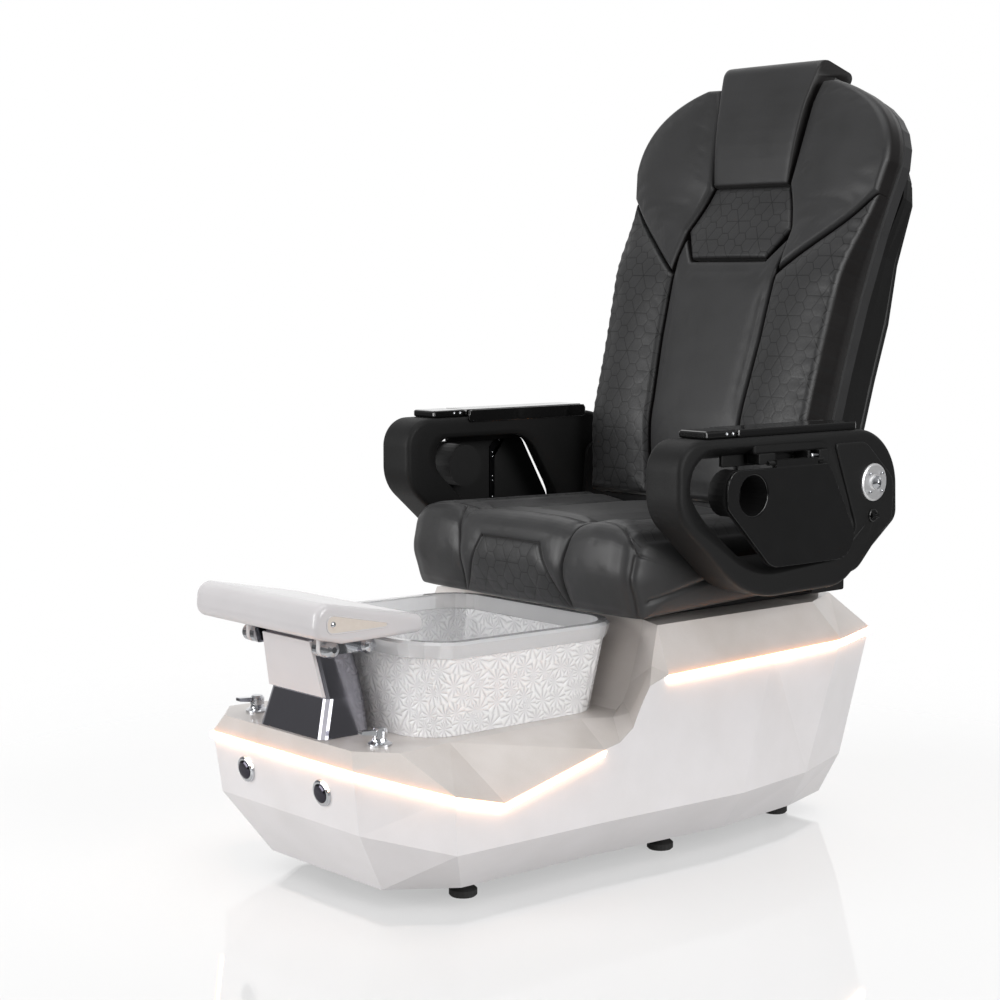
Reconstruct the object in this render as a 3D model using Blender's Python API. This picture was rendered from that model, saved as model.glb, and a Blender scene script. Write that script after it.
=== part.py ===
"""Pedicure chair: a faceted foot-bath base, a footrest on a column and a reclining chair on a slide.

Metres, +Z up. The front (footrest) is -Y and the sitter's left is +X. Lengths along Y are measured
from the front of the arms, and the empty chair_origin centres the whole part on the origin.
"""

from math import atan2, cos, pi, radians, sin, sqrt, tan

import bmesh
import bpy
from mathutils import Matrix, Vector

# Driving dimensions: whole chair
GAP = 0.0003
RUNNING_GAP = 0.0004
ORIGIN_SHIFT_Y = -0.0601
SIDES = {"left": 1.0, "right": -1.0}

# Driving dimensions: base
FLOOR_CLEARANCE = 0.032
CREASE_HEIGHT = 0.143
CREASE_SIDE_DROP = 0.020
BASE_HALF_WIDTH = 0.335
BASE_FRONT_Y = -0.567
BASE_WALL = 0.008
FRONT_DECK_HEIGHT = 0.279
SEAT_DECK_HEIGHT = 0.435
SEAT_DECK_HALF_WIDTH = 0.300
SEAT_DECK_LENGTH = 0.594
LIGHT_HEIGHT = 0.012
LIGHT_DEPTH = 0.005
PAN_THICKNESS = 0.006
FRAME_WALL = 0.006
FOOT_RADIUS = 0.024
FOOT_INSET = 0.048

# Driving dimensions: foot bath
BOWL_SETBACK = 0.143
BOWL_LENGTH = 0.404
BOWL_HALF_WIDTH = 0.205
BOWL_WALL = 0.010
BOWL_FLOOR_HEIGHT = 0.200
BOWL_FLARE = 0.019
BOWL_STEP_GAP = 0.031
RIM_OVERHANG = 0.011
RIM_BAND = 0.028
RIM_UNDER_SEAT = 0.003
DRAIN_RADIUS = 0.018
DRAIN_LENGTH = 0.050
PUMP_RADIUS = 0.050
PUMP_HEIGHT = 0.065
JET_RADIUS = 0.036

# Driving dimensions: footrest and controls
COLUMN_BOTTOM_HALF_WIDTH = 0.091
COLUMN_TOP_HALF_WIDTH = 0.072
COLUMN_WAIST_DROP = 0.099
FOOTREST_SETBACK = 0.021
FOOTREST_HALF_WIDTH = 0.168
FOOTREST_OVER_RIM = 0.0055
YOKE_PLATE = 0.008
YOKE_CHEEK = 0.012
YOKE_BOSS_RADIUS = 0.0145
FOOTREST_PIN_RADIUS = 0.006
BUTTON_SPACING = 0.218
BUTTON_RADIUS = 0.016
BUTTON_DROP = 0.052
TAP_SPACING = 0.350
TAP_SETBACK = 0.074
TAP_LEVER_LENGTH = 0.040

# Driving dimensions: seat carriage and its recline drive
RAIL_CENTRE_X = 0.220
RAIL_WIDTH = 0.024
RAIL_HEIGHT = 0.0117
RUNNER_WALL = 0.008
CARRIAGE_SETBACK = 0.019
CARRIAGE_OVERHANG = 0.080
SEAT_PLATE = 0.008
SEAT_HALF_WIDTH = 0.298
SEAT_OVERHANG = 0.058
SEAT_LIFT = 0.013
SEAT_THICKNESS = 0.152
SEAT_BACK_GAP = 0.040
RECLINE_SETBACK = 0.409
SHAFT_RADIUS = 0.008
LEVER_LENGTH = 0.058
DRIVE_RADIUS = 0.0257
DRIVE_LIFT = 0.0013
DRIVE_LENGTH = 0.190
DRIVE_BORE = 0.0085

# Driving dimensions: back
BACK_LEAN = radians(15.5)
BACK_NARROWING = 0.013
BACK_FLARE = 0.047
BACK_BOTTOM = 0.060
BACK_SHOULDER = 0.740
BACK_ARCH = 0.185
BACK_SWELL = 0.036
NECK_DROP = 0.195
BOARD_FRONT = -0.006
BOARD_THICKNESS = 0.036
SHELL_THICKNESS = 0.085
SHELL_FOOT = 0.050
SHELL_TAPER = 2.2
SHELL_DROP = 0.050
COVER_THICKNESS = 0.0326
PAD_THICKNESS = 0.038
SEAM = 0.0015

# Driving dimensions: arms and trays
ARM_CLEARANCE = 0.022
ARM_WIDTH = 0.083
ARM_REACH = 0.494
ARM_PIVOT_BEHIND = 0.030
ARM_PIVOT_ABOVE = 0.142
ARM_RISE = 0.096
ARM_DEPTH = 0.185
BRACKET_THICKNESS = 0.008
AXLE_RADIUS = 0.014
AXLE_LENGTH = 0.060
CAP_SETBACK = 0.072
CAP_LENGTH = 0.390
LID_LENGTH = 0.312
CAP_THICKNESS = 0.014
TRAY_THICKNESS = 0.012
TRAY_HINGE_DROP = 0.046
TRAY_PIN_RADIUS = 0.004
CUP_SETBACK = 0.167
CUP_RADIUS = 0.038
CUP_WALL = 0.003
CUP_DEPTH = 0.065

# Places worked out from the sizes above: along the chair
BOWL_FRONT_Y = BASE_FRONT_Y + BOWL_SETBACK
BOWL_REAR_Y = BOWL_FRONT_Y + BOWL_LENGTH
BOWL_CENTRE_Y = (BOWL_FRONT_Y + BOWL_REAR_Y) / 2
STEP_Y = BOWL_REAR_Y + BOWL_STEP_GAP
BASE_REAR_Y = STEP_Y + SEAT_DECK_LENGTH
TAP_Y = BASE_FRONT_Y + TAP_SETBACK
RECLINE_Y = STEP_Y + RECLINE_SETBACK
CARRIAGE_FRONT_Y = STEP_Y + CARRIAGE_SETBACK
CARRIAGE_REAR_Y = RECLINE_Y + CARRIAGE_OVERHANG
SEAT_FRONT_Y = STEP_Y - SEAT_OVERHANG
SEAT_REAR_Y = RECLINE_Y - SEAT_BACK_GAP

# Places worked out from the sizes above: heights
PAN_BOTTOM = FLOOR_CLEARANCE + 0.002
PAN_TOP = PAN_BOTTOM + PAN_THICKNESS
RAIL_TOP = SEAT_DECK_HEIGHT + GAP + RAIL_HEIGHT
LEVER_PIN_Z = SEAT_DECK_HEIGHT + DRIVE_LIFT + DRIVE_RADIUS
SEAT_PLATE_BOTTOM = LEVER_PIN_Z + DRIVE_RADIUS + GAP
SEAT_PLATE_TOP = SEAT_PLATE_BOTTOM + SEAT_PLATE
RECLINE_Z = LEVER_PIN_Z + LEVER_LENGTH
SEAT_BOTTOM = SEAT_DECK_HEIGHT + SEAT_LIFT
SEAT_TOP = SEAT_BOTTOM + SEAT_THICKNESS
RIM_HEIGHT = SEAT_BOTTOM - RIM_UNDER_SEAT
YOKE_TOP = RIM_HEIGHT + FOOTREST_OVER_RIM - 0.0005
COLUMN_TOP_HEIGHT = YOKE_TOP - YOKE_PLATE
COLUMN_WAIST_HEIGHT = COLUMN_TOP_HEIGHT - COLUMN_WAIST_DROP
FOOTREST_PIVOT = (BASE_FRONT_Y + FOOTREST_SETBACK, COLUMN_TOP_HEIGHT - 0.009)

# Places worked out from the sizes above: back, arms and trays
BACK_BOTTOM_HALF_WIDTH = SEAT_HALF_WIDTH - BACK_NARROWING
BACK_TOP_HALF_WIDTH = BACK_BOTTOM_HALF_WIDTH + BACK_FLARE
BACK_CROWN = BACK_SHOULDER + BACK_ARCH
SHELL_FRONT = BOARD_FRONT + BOARD_THICKNESS + GAP
COVER_FRONT = SHELL_FRONT + GAP
PAD_BACK = BOARD_FRONT - GAP
PAD_FRONT = PAD_BACK - PAD_THICKNESS
ARM_INNER_X = SEAT_HALF_WIDTH + ARM_CLEARANCE
ARM_OUTER_X = ARM_INNER_X + ARM_WIDTH
ARM_PIVOT = (RECLINE_Y + ARM_PIVOT_BEHIND, RECLINE_Z + ARM_PIVOT_ABOVE)
ARM_FRONT_Y = ARM_PIVOT[0] - ARM_REACH
ARM_TOP = ARM_PIVOT[1] + ARM_RISE
CAP_FRONT_Y = ARM_FRONT_Y + CAP_SETBACK
CAP_REAR_Y = CAP_FRONT_Y + CAP_LENGTH
LID_SPLIT_Y = CAP_REAR_Y - LID_LENGTH
TRAY_INNER_X = ARM_OUTER_X + 0.0015
TRAY_HINGE_X = TRAY_INNER_X + TRAY_THICKNESS / 2
TRAY_HINGE_Z = ARM_TOP - TRAY_HINGE_DROP
CUP_CENTRE = (ARM_FRONT_Y + CUP_SETBACK, ARM_PIVOT[1] - 0.002)

PLANES = {
    "x": lambda a, b, n: (n, a, b),
    "y": lambda a, b, n: (a, n, b),
    "z": lambda a, b, n: (a, b, n),
}


# Scene helpers


def clear_scene():
    for obj in list(bpy.data.objects):
        bpy.data.objects.remove(obj, do_unlink=True)


def finish(name, colour, roughness, metallic=0.0, alpha=1.0):
    """One Principled BSDF material with the finish of a real surface."""
    made = bpy.data.materials.new(name)
    made.use_nodes = True
    shader = made.node_tree.nodes["Principled BSDF"]
    shader.inputs["Base Color"].default_value = (*colour, 1.0)
    shader.inputs["Roughness"].default_value = roughness
    shader.inputs["Metallic"].default_value = metallic
    shader.inputs["Alpha"].default_value = alpha
    return made


class Carrier:
    """An empty that carries pieces. Its point is given in the chair's own coordinates."""

    def __init__(self, name, point, parent=None, tilt=0.0):
        self.point = Vector(point)
        self.tilt = tilt
        self.empty = bpy.data.objects.new(name, None)
        bpy.context.scene.collection.objects.link(self.empty)
        self.empty.rotation_euler.x = tilt
        if parent is None:
            self.empty.location = (0.0, ORIGIN_SHIFT_Y, 0.0)
        else:
            self.empty.parent = parent.empty
            self.empty.location = self.point - parent.point


def add(name, shape, surface, carrier, sharp=32.0):
    """Object from a bmesh, smooth below the sharp angle, drawn in the frame of a tilted carrier."""
    if not carrier.tilt:
        bmesh.ops.translate(shape, vec=-carrier.point, verts=shape.verts)
    bmesh.ops.recalc_face_normals(shape, faces=shape.faces)
    mesh = bpy.data.meshes.new(name)
    shape.to_mesh(mesh)
    shape.free()
    mesh.shade_smooth()
    mesh.set_sharp_from_angle(angle=radians(sharp))
    mesh.materials.append(surface)
    obj = bpy.data.objects.new(name, mesh)
    bpy.context.scene.collection.objects.link(obj)
    obj.parent = carrier.empty
    return obj


def combine(obj, shape, operation, carrier):
    """Boolean of an object with a helper shape, which stays hidden."""
    helper = add(f"{obj.name}_helper", shape, obj.data.materials[0], carrier)
    helper.hide_render = True
    helper.display_type = "WIRE"
    modifier = obj.modifiers.new(operation.title(), "BOOLEAN")
    modifier.operation = operation
    modifier.solver = "EXACT"
    modifier.object = helper


def round_edges(obj, width, segments=2, angle=40.0):
    modifier = obj.modifiers.new("Rounding", "BEVEL")
    modifier.width = width
    modifier.segments = segments
    modifier.limit_method = "ANGLE"
    modifier.angle_limit = radians(angle)
    modifier.use_clamp_overlap = True


# Shape helpers


def rounded(corners, steps=5):
    """Closed outline through (a, b, radius) corners, each corner an arc."""
    outline = []
    for i, (a, b, radius) in enumerate(corners):
        corner = Vector((a, b))
        before = (Vector(corners[i - 1][:2]) - corner).normalized()
        after = (Vector(corners[(i + 1) % len(corners)][:2]) - corner).normalized()
        half = before.angle(after) / 2
        centre = corner + (before + after).normalized() * (radius / sin(half))
        start = corner + before * (radius / tan(half)) - centre
        end = corner + after * (radius / tan(half)) - centre
        for k in range(steps + 1):
            spoke = start.lerp(end, k / steps).normalized() * radius
            outline.append(tuple(centre + spoke))
    return outline


def circle(centre, radius, count=24):
    return [
        (centre[0] + radius * cos(2 * pi * k / count), centre[1] + radius * sin(2 * pi * k / count))
        for k in range(count)
    ]


def plate(outline, low, high, normal, hole=None):
    """Solid between two planes across the axis named by normal, with an optional hole."""
    shape = bmesh.new()
    place = PLANES[normal]
    loops = [loop for loop in (outline, hole) if loop]
    ends = []
    for height in (low, high):
        ends.append([[shape.verts.new(place(a, b, height)) for a, b in loop] for loop in loops])
    rims = [[shape.edges.new((v[i - 1], v[i])) for i in range(len(v))] for v in ends[0]]
    bmesh.ops.triangle_fill(shape, use_beauty=True, edges=[edge for rim in rims for edge in rim])
    across = {v: w for low_loop, high_loop in zip(*ends) for v, w in zip(low_loop, high_loop)}
    for face in list(shape.faces):
        shape.faces.new([across[v] for v in face.verts])
    for low_loop, high_loop in zip(*ends):
        for i in range(len(low_loop)):
            shape.faces.new((low_loop[i - 1], low_loop[i], high_loop[i], high_loop[i - 1]))
    return shape


def box(x, y, z):
    return plate([(x[0], y[0]), (x[1], y[0]), (x[1], y[1]), (x[0], y[1])], z[0], z[1], "z")


def loft(rings, closed=False, capped=True):
    """Skin over rings of equal length, capped at the ends or closed on itself."""
    shape = bmesh.new()
    loops = [[shape.verts.new(point) for point in ring] for ring in rings]
    follow = loops[1:] + loops[:1] if closed else loops[1:]
    for one, two in zip(loops, follow):
        for i in range(len(one)):
            shape.faces.new((one[i - 1], one[i], two[i], two[i - 1]))
    if capped and not closed:
        shape.faces.new(loops[0])
        shape.faces.new(loops[-1])
    return shape


def turned(profile, centre, normal="z", closed=False, count=24):
    """Solid of revolution: profile is (radius, place along the axis)."""
    rings = []
    for radius, along in profile:
        ring = circle((0, 0), radius, count)
        rings.append([Vector(centre) + Vector(PLANES[normal](a, b, along)) for a, b in ring])
    return loft(rings, closed)


def mirrored_loop(stations):
    """Whole plan loop from the stations of the left half, front to rear and back."""
    left = [Vector(point) for point in stations]
    right = [Vector((-x, y, z)) for x, y, z in reversed(left)]
    return left + right


def inset_loop(loop, distance, drop=0.0):
    """Plan offset of a loop towards its inside, mitred at each corner."""
    moved = []
    for i, point in enumerate(loop):
        one = (point - loop[i - 1]).to_2d().normalized()
        two = (loop[(i + 1) % len(loop)] - point).to_2d().normalized()
        inward = Vector((-one.y - two.y, one.x + two.x)) / (1 + one.dot(two))
        moved.append(point + Vector((inward.x * distance, inward.y * distance, -drop)))
    return moved


def rounded_ring(half_width, front, rear, radius, height, steps=6):
    """Rounded rectangle in plan. Height is a number or a function of the place along Y."""
    corners = [(-half_width, front), (half_width, front), (half_width, rear), (-half_width, rear)]
    outline = rounded([(x, y, radius) for x, y in corners], steps)
    level = height if callable(height) else lambda y: height
    return [Vector((x, y, level(y))) for x, y in outline]


def bridge_across(shape, loop):
    """Faces that join the two halves of a mirrored loop, station by station."""
    last = len(loop) - 1
    for i in range(len(loop) // 2 - 1):
        shape.faces.new((loop[i], loop[i + 1], loop[last - i - 1], loop[last - i]))


def skin(shape, one, two, folds=None):
    """Facets between two loops, each folded along its shorter diagonal, or along the diagonals in folds."""
    chosen = []
    for i in range(len(one)):
        a, b, c, d = one[i - 1], one[i], two[i], two[i - 1]
        rising = folds[i] if folds else (a.co - c.co).length <= (b.co - d.co).length
        chosen.append(rising)
        for corners in ((a, b, c), (a, c, d)) if rising else ((a, b, d), (b, c, d)):
            shape.faces.new(corners)
    return chosen


# Base: plan loops of the faceted hull, each station once from the front corner to the rear corner


def foot_loop():
    half = 0.70 * BASE_HALF_WIDTH
    stations = [
        (0.67 * half, BASE_FRONT_Y + 0.090),
        (0.99 * half, BASE_FRONT_Y + 0.196),
        (0.99 * half, BASE_FRONT_Y + 0.237),
        (0.99 * half, STEP_Y - 0.170),
        (0.99 * half, STEP_Y - 0.115),
        (0.99 * half, STEP_Y - 0.069),
        (1.00 * half, STEP_Y - 0.051),
        (1.01 * half, STEP_Y - 0.031),
        (1.01 * half, STEP_Y - 0.001),
        (1.06 * half, BASE_REAR_Y - 0.370),
        (0.96 * half, BASE_REAR_Y - 0.165),
        (0.79 * half, BASE_REAR_Y - 0.030),
    ]
    return mirrored_loop([(x, y, FLOOR_CLEARANCE) for x, y in stations])


def crease_loop():
    half = BASE_HALF_WIDTH
    side = CREASE_HEIGHT - CREASE_SIDE_DROP
    stations = [
        (0.590 * half, BASE_FRONT_Y + 0.015, CREASE_HEIGHT),
        (0.994 * half, BASE_FRONT_Y + 0.105, side),
        (0.996 * half, BASE_FRONT_Y + 0.167, side),
        (0.998 * half, STEP_Y - 0.230, side),
        (0.999 * half, STEP_Y - 0.180, side),
        (1.000 * half, STEP_Y - 0.140, side),
        (1.003 * half, STEP_Y - 0.116, side),
        (1.007 * half, STEP_Y - 0.091, side),
        (1.011 * half, STEP_Y - 0.056, side),
        (1.042 * half, STEP_Y + 0.169, side),
        (0.950 * half, BASE_REAR_Y - 0.222, side),
        (0.760 * half, BASE_REAR_Y - 0.053, side),
    ]
    return mirrored_loop(stations)


def light_loop():
    half = BASE_HALF_WIDTH
    front = FRONT_DECK_HEIGHT
    rear = SEAT_DECK_HEIGHT - 0.070
    stations = [
        (0.60 * half, BASE_FRONT_Y, front - 0.028),
        (half, BASE_FRONT_Y + 0.099, front - 0.059),
        (half, BASE_FRONT_Y + 0.202, front - 0.086),
        (half, STEP_Y - 0.156, front - 0.032),
        (half, STEP_Y - 0.121, front - 0.025),
        (half, STEP_Y - 0.091, front - 0.005),
        (half, STEP_Y - 0.074, front + 0.027),
        (half, STEP_Y - 0.051, rear - 0.024),
        (half, STEP_Y - 0.007, rear - 0.010),
        (half, BASE_REAR_Y - 0.334, rear - 0.004),
        (half, BASE_REAR_Y - 0.150, rear),
        (0.83 * half, BASE_REAR_Y, rear),
    ]
    return mirrored_loop(stations)


def deck_edge_loop():
    inner = BOWL_HALF_WIDTH + 0.018
    half = SEAT_DECK_HALF_WIDTH
    rise = SEAT_DECK_HEIGHT - FRONT_DECK_HEIGHT
    stations = [
        (0.82 * inner, BASE_FRONT_Y + 0.012, FRONT_DECK_HEIGHT),
        (1.09 * inner, BASE_FRONT_Y + 0.062, FRONT_DECK_HEIGHT),
        (1.05 * inner, BASE_FRONT_Y + 0.170, FRONT_DECK_HEIGHT),
        (1.06 * inner, STEP_Y - 0.120, FRONT_DECK_HEIGHT),
        (0.89 * half, STEP_Y - 0.072, FRONT_DECK_HEIGHT),
        (0.99 * half, STEP_Y - 0.062, FRONT_DECK_HEIGHT + 0.07 * rise),
        (1.02 * half, STEP_Y - 0.050, FRONT_DECK_HEIGHT + 0.26 * rise),
        (1.03 * half, STEP_Y - 0.022, FRONT_DECK_HEIGHT + 0.57 * rise),
        (half, STEP_Y, SEAT_DECK_HEIGHT),
        (half, BASE_REAR_Y - 0.385, SEAT_DECK_HEIGHT),
        (half, BASE_REAR_Y - 0.191, SEAT_DECK_HEIGHT),
        (0.82 * half, BASE_REAR_Y - 0.080, SEAT_DECK_HEIGHT),
    ]
    return mirrored_loop(stations)


def deck_inner_loop():
    """Line inside the deck edge. Behind the bowl it draws the riser back into a hollow."""
    half = BOWL_HALF_WIDTH
    wide = 0.80 * SEAT_DECK_HALF_WIDTH
    rise = SEAT_DECK_HEIGHT - FRONT_DECK_HEIGHT
    stations = [
        (0.60 * half, BASE_FRONT_Y + 0.040, FRONT_DECK_HEIGHT),
        (0.72 * half, BASE_FRONT_Y + 0.074, FRONT_DECK_HEIGHT),
        (0.72 * half, BASE_FRONT_Y + 0.174, FRONT_DECK_HEIGHT),
        (0.72 * half, STEP_Y - 0.161, FRONT_DECK_HEIGHT),
        (0.94 * wide, STEP_Y - 0.026, FRONT_DECK_HEIGHT),
        (0.97 * wide, STEP_Y - 0.016, FRONT_DECK_HEIGHT + 0.09 * rise),
        (0.99 * wide, STEP_Y - 0.004, FRONT_DECK_HEIGHT + 0.30 * rise),
        (1.00 * wide, STEP_Y + 0.010, FRONT_DECK_HEIGHT + 0.62 * rise),
        (1.01 * wide, STEP_Y + 0.024, SEAT_DECK_HEIGHT),
        (1.00 * half, BASE_REAR_Y - 0.385, SEAT_DECK_HEIGHT),
        (0.95 * half, BASE_REAR_Y - 0.191, SEAT_DECK_HEIGHT),
        (0.72 * half, BASE_REAR_Y - 0.110, SEAT_DECK_HEIGHT),
    ]
    return mirrored_loop(stations)


def rim_loop():
    """Inner edge of the joint between the two mouldings, dropped where the side sweeps up."""
    drops = {5: 0.008, 6: 0.016, 7: 0.014, 8: 0.006}
    loop = inset_loop(light_loop(), BASE_WALL)
    for i, point in enumerate(loop):
        point.z -= drops.get(min(i, len(loop) - 1 - i), 0.0)
    return loop


def add_base_skirt(root, surface):
    """Lower moulding: a faceted wall from the floor edge up to the light line, open above and below."""
    outer = [foot_loop(), crease_loop(), light_loop()]
    inner = [inset_loop(outer[0], BASE_WALL), inset_loop(outer[1], BASE_WALL), rim_loop()]
    shape = bmesh.new()
    walls = [[[shape.verts.new(p) for p in loop] for loop in wall] for wall in (outer, inner)]
    for low, high in ((0, 1), (1, 2)):
        folds = skin(shape, walls[0][low], walls[0][high])
        skin(shape, walls[1][low], walls[1][high], folds)
    for edge in (0, 2):
        skin(shape, walls[0][edge], walls[1][edge])
    skirt = add("base_skirt", shape, surface, root, 4.0)
    for sign in SIDES.values():
        bore = BUTTON_RADIUS + RUNNING_GAP
        hole = turned([(bore, -0.03), (bore, 0.03)], (0, 0, 0))
        bmesh.ops.transform(hole, matrix=button_matrix(sign), verts=hole.verts)
        combine(skirt, hole, "DIFFERENCE", root)


def add_base_deck(root, surface):
    """Upper moulding: the sloped gunwale, the front deck, the riser and the seat deck in one shell."""
    riser = range(4, 9)
    light = inset_loop(light_loop(), 0.0, -GAP)
    edge = deck_edge_loop()
    inner = deck_inner_loop()
    under_inner = inset_loop(inner, 0.0, BASE_WALL)
    under_edge = inset_loop(edge, BASE_WALL, BASE_WALL)
    for loop in (under_edge, under_inner):
        for i, point in enumerate(loop):
            if min(i, len(loop) - 1 - i) in riser:
                point.y += BASE_WALL
    for corner in (under_edge[4], under_edge[-5]):
        corner.z -= BASE_WALL
    rim = inset_loop(rim_loop(), 0.0, -GAP)
    under = [rim, under_edge, under_inner]
    shape = bmesh.new()
    top = [[shape.verts.new(p) for p in loop] for loop in (light, edge, inner)]
    bottom = [[shape.verts.new(p) for p in loop] for loop in under]
    for outside, inside in ((0, 1), (1, 2)):
        folds = skin(shape, top[outside], top[inside])
        skin(shape, bottom[outside], bottom[inside], folds)
    for layer in (top, bottom):
        bridge_across(shape, layer[2])
    skin(shape, top[0], bottom[0])
    deck = add("base_deck", shape, surface, root, 4.0)
    neck = bowl_rings()["neck"]
    cut = [
        [Vector((p.x * 1.018, BOWL_CENTRE_Y + (p.y - BOWL_CENTRE_Y) * 1.018, z)) for p in neck]
        for z in (FRONT_DECK_HEIGHT - 0.03, FRONT_DECK_HEIGHT + 0.03)
    ]
    combine(deck, loft(cut), "DIFFERENCE", root)


def add_lights(root, surface):
    """Two light lenses under the edge of the deck: one round the front, one round the rear."""
    loop = light_loop()
    crease = crease_loop()
    lower = []
    for top, bottom in zip(loop, crease):
        lower.append(top.lerp(bottom, LIGHT_HEIGHT / (top - bottom).length))
    inner = (inset_loop(loop, -GAP), inset_loop(lower, -0.7 * LIGHT_DEPTH))
    outer = (inset_loop(loop, -LIGHT_DEPTH), inset_loop(lower, -1.3 * LIGHT_DEPTH))
    drop = Vector((0.0, 0.0, -0.001))
    count = len(loop)
    runs = {
        "led_strip_front": [k % count for k in range(3, -5, -1)],
        "led_strip_rear": list(range(8, count - 8)),
    }
    for name, stations in runs.items():
        rings = [
            [inner[0][k] + drop, outer[0][k] + drop, outer[1][k], inner[1][k]] for k in stations
        ]
        add(name, loft(rings), surface, root)


def add_base_inside(root, steel):
    """Floor pan inside the skirt and the folded frame that carries the seat deck."""
    outline = inset_loop(foot_loop(), BASE_WALL + 0.0025)
    rings = [[Vector((p.x, p.y, z)) for p in outline] for z in (PAN_BOTTOM, PAN_TOP)]
    add("base_pan", loft(rings), steel, root)
    wall = FRAME_WALL
    half = RAIL_CENTRE_X - 0.045
    low = PAN_TOP + GAP
    high = SEAT_DECK_HEIGHT - BASE_WALL - GAP
    profile = [
        (-half, low),
        (-half + wall, low),
        (-half + wall, high - wall),
        (half - wall, high - wall),
        (half - wall, low),
        (half, low),
        (half, high),
        (-half, high),
    ]
    front = STEP_Y + 0.05
    add("pedestal_frame", plate(profile, front, CARRIAGE_REAR_Y, "y"), steel, root)


def add_feet(root, rubber):
    """Six levelling feet under the pan."""
    loop = foot_loop()
    places = {
        "front": (loop[3].x - FOOT_INSET, loop[0].y + 0.150),
        "middle": (loop[3].x - 0.8 * FOOT_INSET, STEP_Y + 0.118),
        "rear": (loop[11].x - 0.6 * FOOT_INSET, loop[11].y - 0.095),
    }
    top = PAN_BOTTOM - GAP
    profile = [
        (FOOT_RADIUS - 0.003, 0.0),
        (FOOT_RADIUS, 0.003),
        (FOOT_RADIUS, 0.012),
        (FOOT_RADIUS - 0.007, 0.018),
        (FOOT_RADIUS - 0.007, top),
    ]
    for end, (x, y) in places.items():
        for side, sign in SIDES.items():
            add(f"foot_{end}_{side}", turned(profile, (sign * x, y, 0), count=20), rubber, root)


# Foot bath


def rim_top(y):
    """Top edge of the clear rim: it falls towards the middle and steps up near the seat."""
    front = BOWL_FRONT_Y - BOWL_FLARE - RIM_OVERHANG
    low_y = BOWL_REAR_Y - 0.136
    fall = 0.018 * min(1.0, max(0.0, (y - front) / (low_y - front)))
    rise = min(1.0, max(0.0, (y - low_y) / 0.08))
    return RIM_HEIGHT - fall + 0.010 * rise * rise * (3 - 2 * rise)


def wall_top(y):
    return rim_top(y) - RIM_BAND


def bowl_rings():
    """Rings of the bowl from its foot, out round the flange, over the wall and down inside."""
    half, front, rear = BOWL_HALF_WIDTH, BOWL_FRONT_Y, BOWL_REAR_Y
    flange = FRONT_DECK_HEIGHT + GAP
    flare = BOWL_FLARE
    lip = BOWL_WALL
    return {
        "foot": rounded_ring(half - 0.055, front + 0.053, rear - 0.055, 0.05, BOWL_FLOOR_HEIGHT),
        "neck": rounded_ring(half - 0.016, front + 0.019, rear - 0.019, 0.06, flange),
        "flange": rounded_ring(half, front, rear, 0.07, flange),
        "outer": rounded_ring(half + flare, front - flare, rear + flare, 0.075, wall_top),
        "inner": rounded_ring(
            half + flare - lip, front - flare + lip, rear + flare - lip, 0.065, wall_top
        ),
        "basin": rounded_ring(
            half - 0.026, front + 0.029, rear - 0.029, 0.05, flange + BOWL_WALL
        ),
        "floor": rounded_ring(
            half - 0.070, front + 0.068, rear - 0.070, 0.04, BOWL_FLOOR_HEIGHT + BOWL_WALL
        ),
    }


def add_bowl(root, enamel, acrylic, chrome, plastic):
    bowl = add("bowl", loft(list(bowl_rings().values())), enamel, root)
    drain = (0.0, BOWL_CENTRE_Y, BOWL_FLOOR_HEIGHT)
    outlet = [(DRAIN_RADIUS + GAP, -0.02), (DRAIN_RADIUS + GAP, 0.03)]
    combine(bowl, turned(outlet, drain), "DIFFERENCE", root)

    half = BOWL_HALF_WIDTH + BOWL_FLARE
    front, rear = BOWL_FRONT_Y - BOWL_FLARE, BOWL_REAR_Y + BOWL_FLARE
    out = RIM_OVERHANG
    lip = BOWL_WALL - 0.001

    def seat(y):
        return wall_top(y) + GAP

    def shoulder(y):
        return rim_top(y) - 0.005

    rings = [
        rounded_ring(half - lip, front + lip, rear - lip, 0.066, seat),
        rounded_ring(half + 0.4 * out, front - 0.4 * out, rear + 0.4 * out, 0.079, seat),
        rounded_ring(half + out, front - out, rear + out, 0.086, shoulder),
        rounded_ring(half + 0.6 * out, front - 0.6 * out, rear + 0.6 * out, 0.082, rim_top),
        rounded_ring(half - lip, front + lip, rear - lip, 0.066, rim_top),
    ]
    add("bowl_rim", loft(rings, closed=True), acrylic, root)

    top = BOWL_WALL + GAP
    tail = BOWL_FLOOR_HEIGHT - DRAIN_LENGTH
    profile = [
        (DRAIN_RADIUS, -DRAIN_LENGTH),
        (DRAIN_RADIUS, top),
        (DRAIN_RADIUS + 0.012, top),
        (DRAIN_RADIUS + 0.012, top + 0.002),
        (DRAIN_RADIUS, top + 0.005),
    ]
    add("drain_fitting", turned(profile, drain), chrome, root)
    pump = [
        (PUMP_RADIUS, PAN_TOP + GAP),
        (PUMP_RADIUS, PAN_TOP + PUMP_HEIGHT),
        (0.84 * PUMP_RADIUS, PAN_TOP + PUMP_HEIGHT + 0.007),
        (0.60 * PUMP_RADIUS, PAN_TOP + PUMP_HEIGHT + 0.011),
        (DRAIN_RADIUS + 0.006, tail - GAP),
    ]
    add("drain_pump", turned(pump, (0.0, BOWL_CENTRE_Y, 0.0)), plastic, root)


def jet_wall(inside):
    """Middle and slope of the bowl's lower rear wall, on its inner or outer face."""
    rings = bowl_rings()
    low, high = (rings["floor"], rings["basin"]) if inside else (rings["foot"], rings["neck"])
    bottom = Vector((0.0, max(p.y for p in low), low[0].z))
    top = Vector((0.0, max(p.y for p in high), high[0].z))
    return (bottom + top) / 2, atan2(top.y - bottom.y, top.z - bottom.z)


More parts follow.
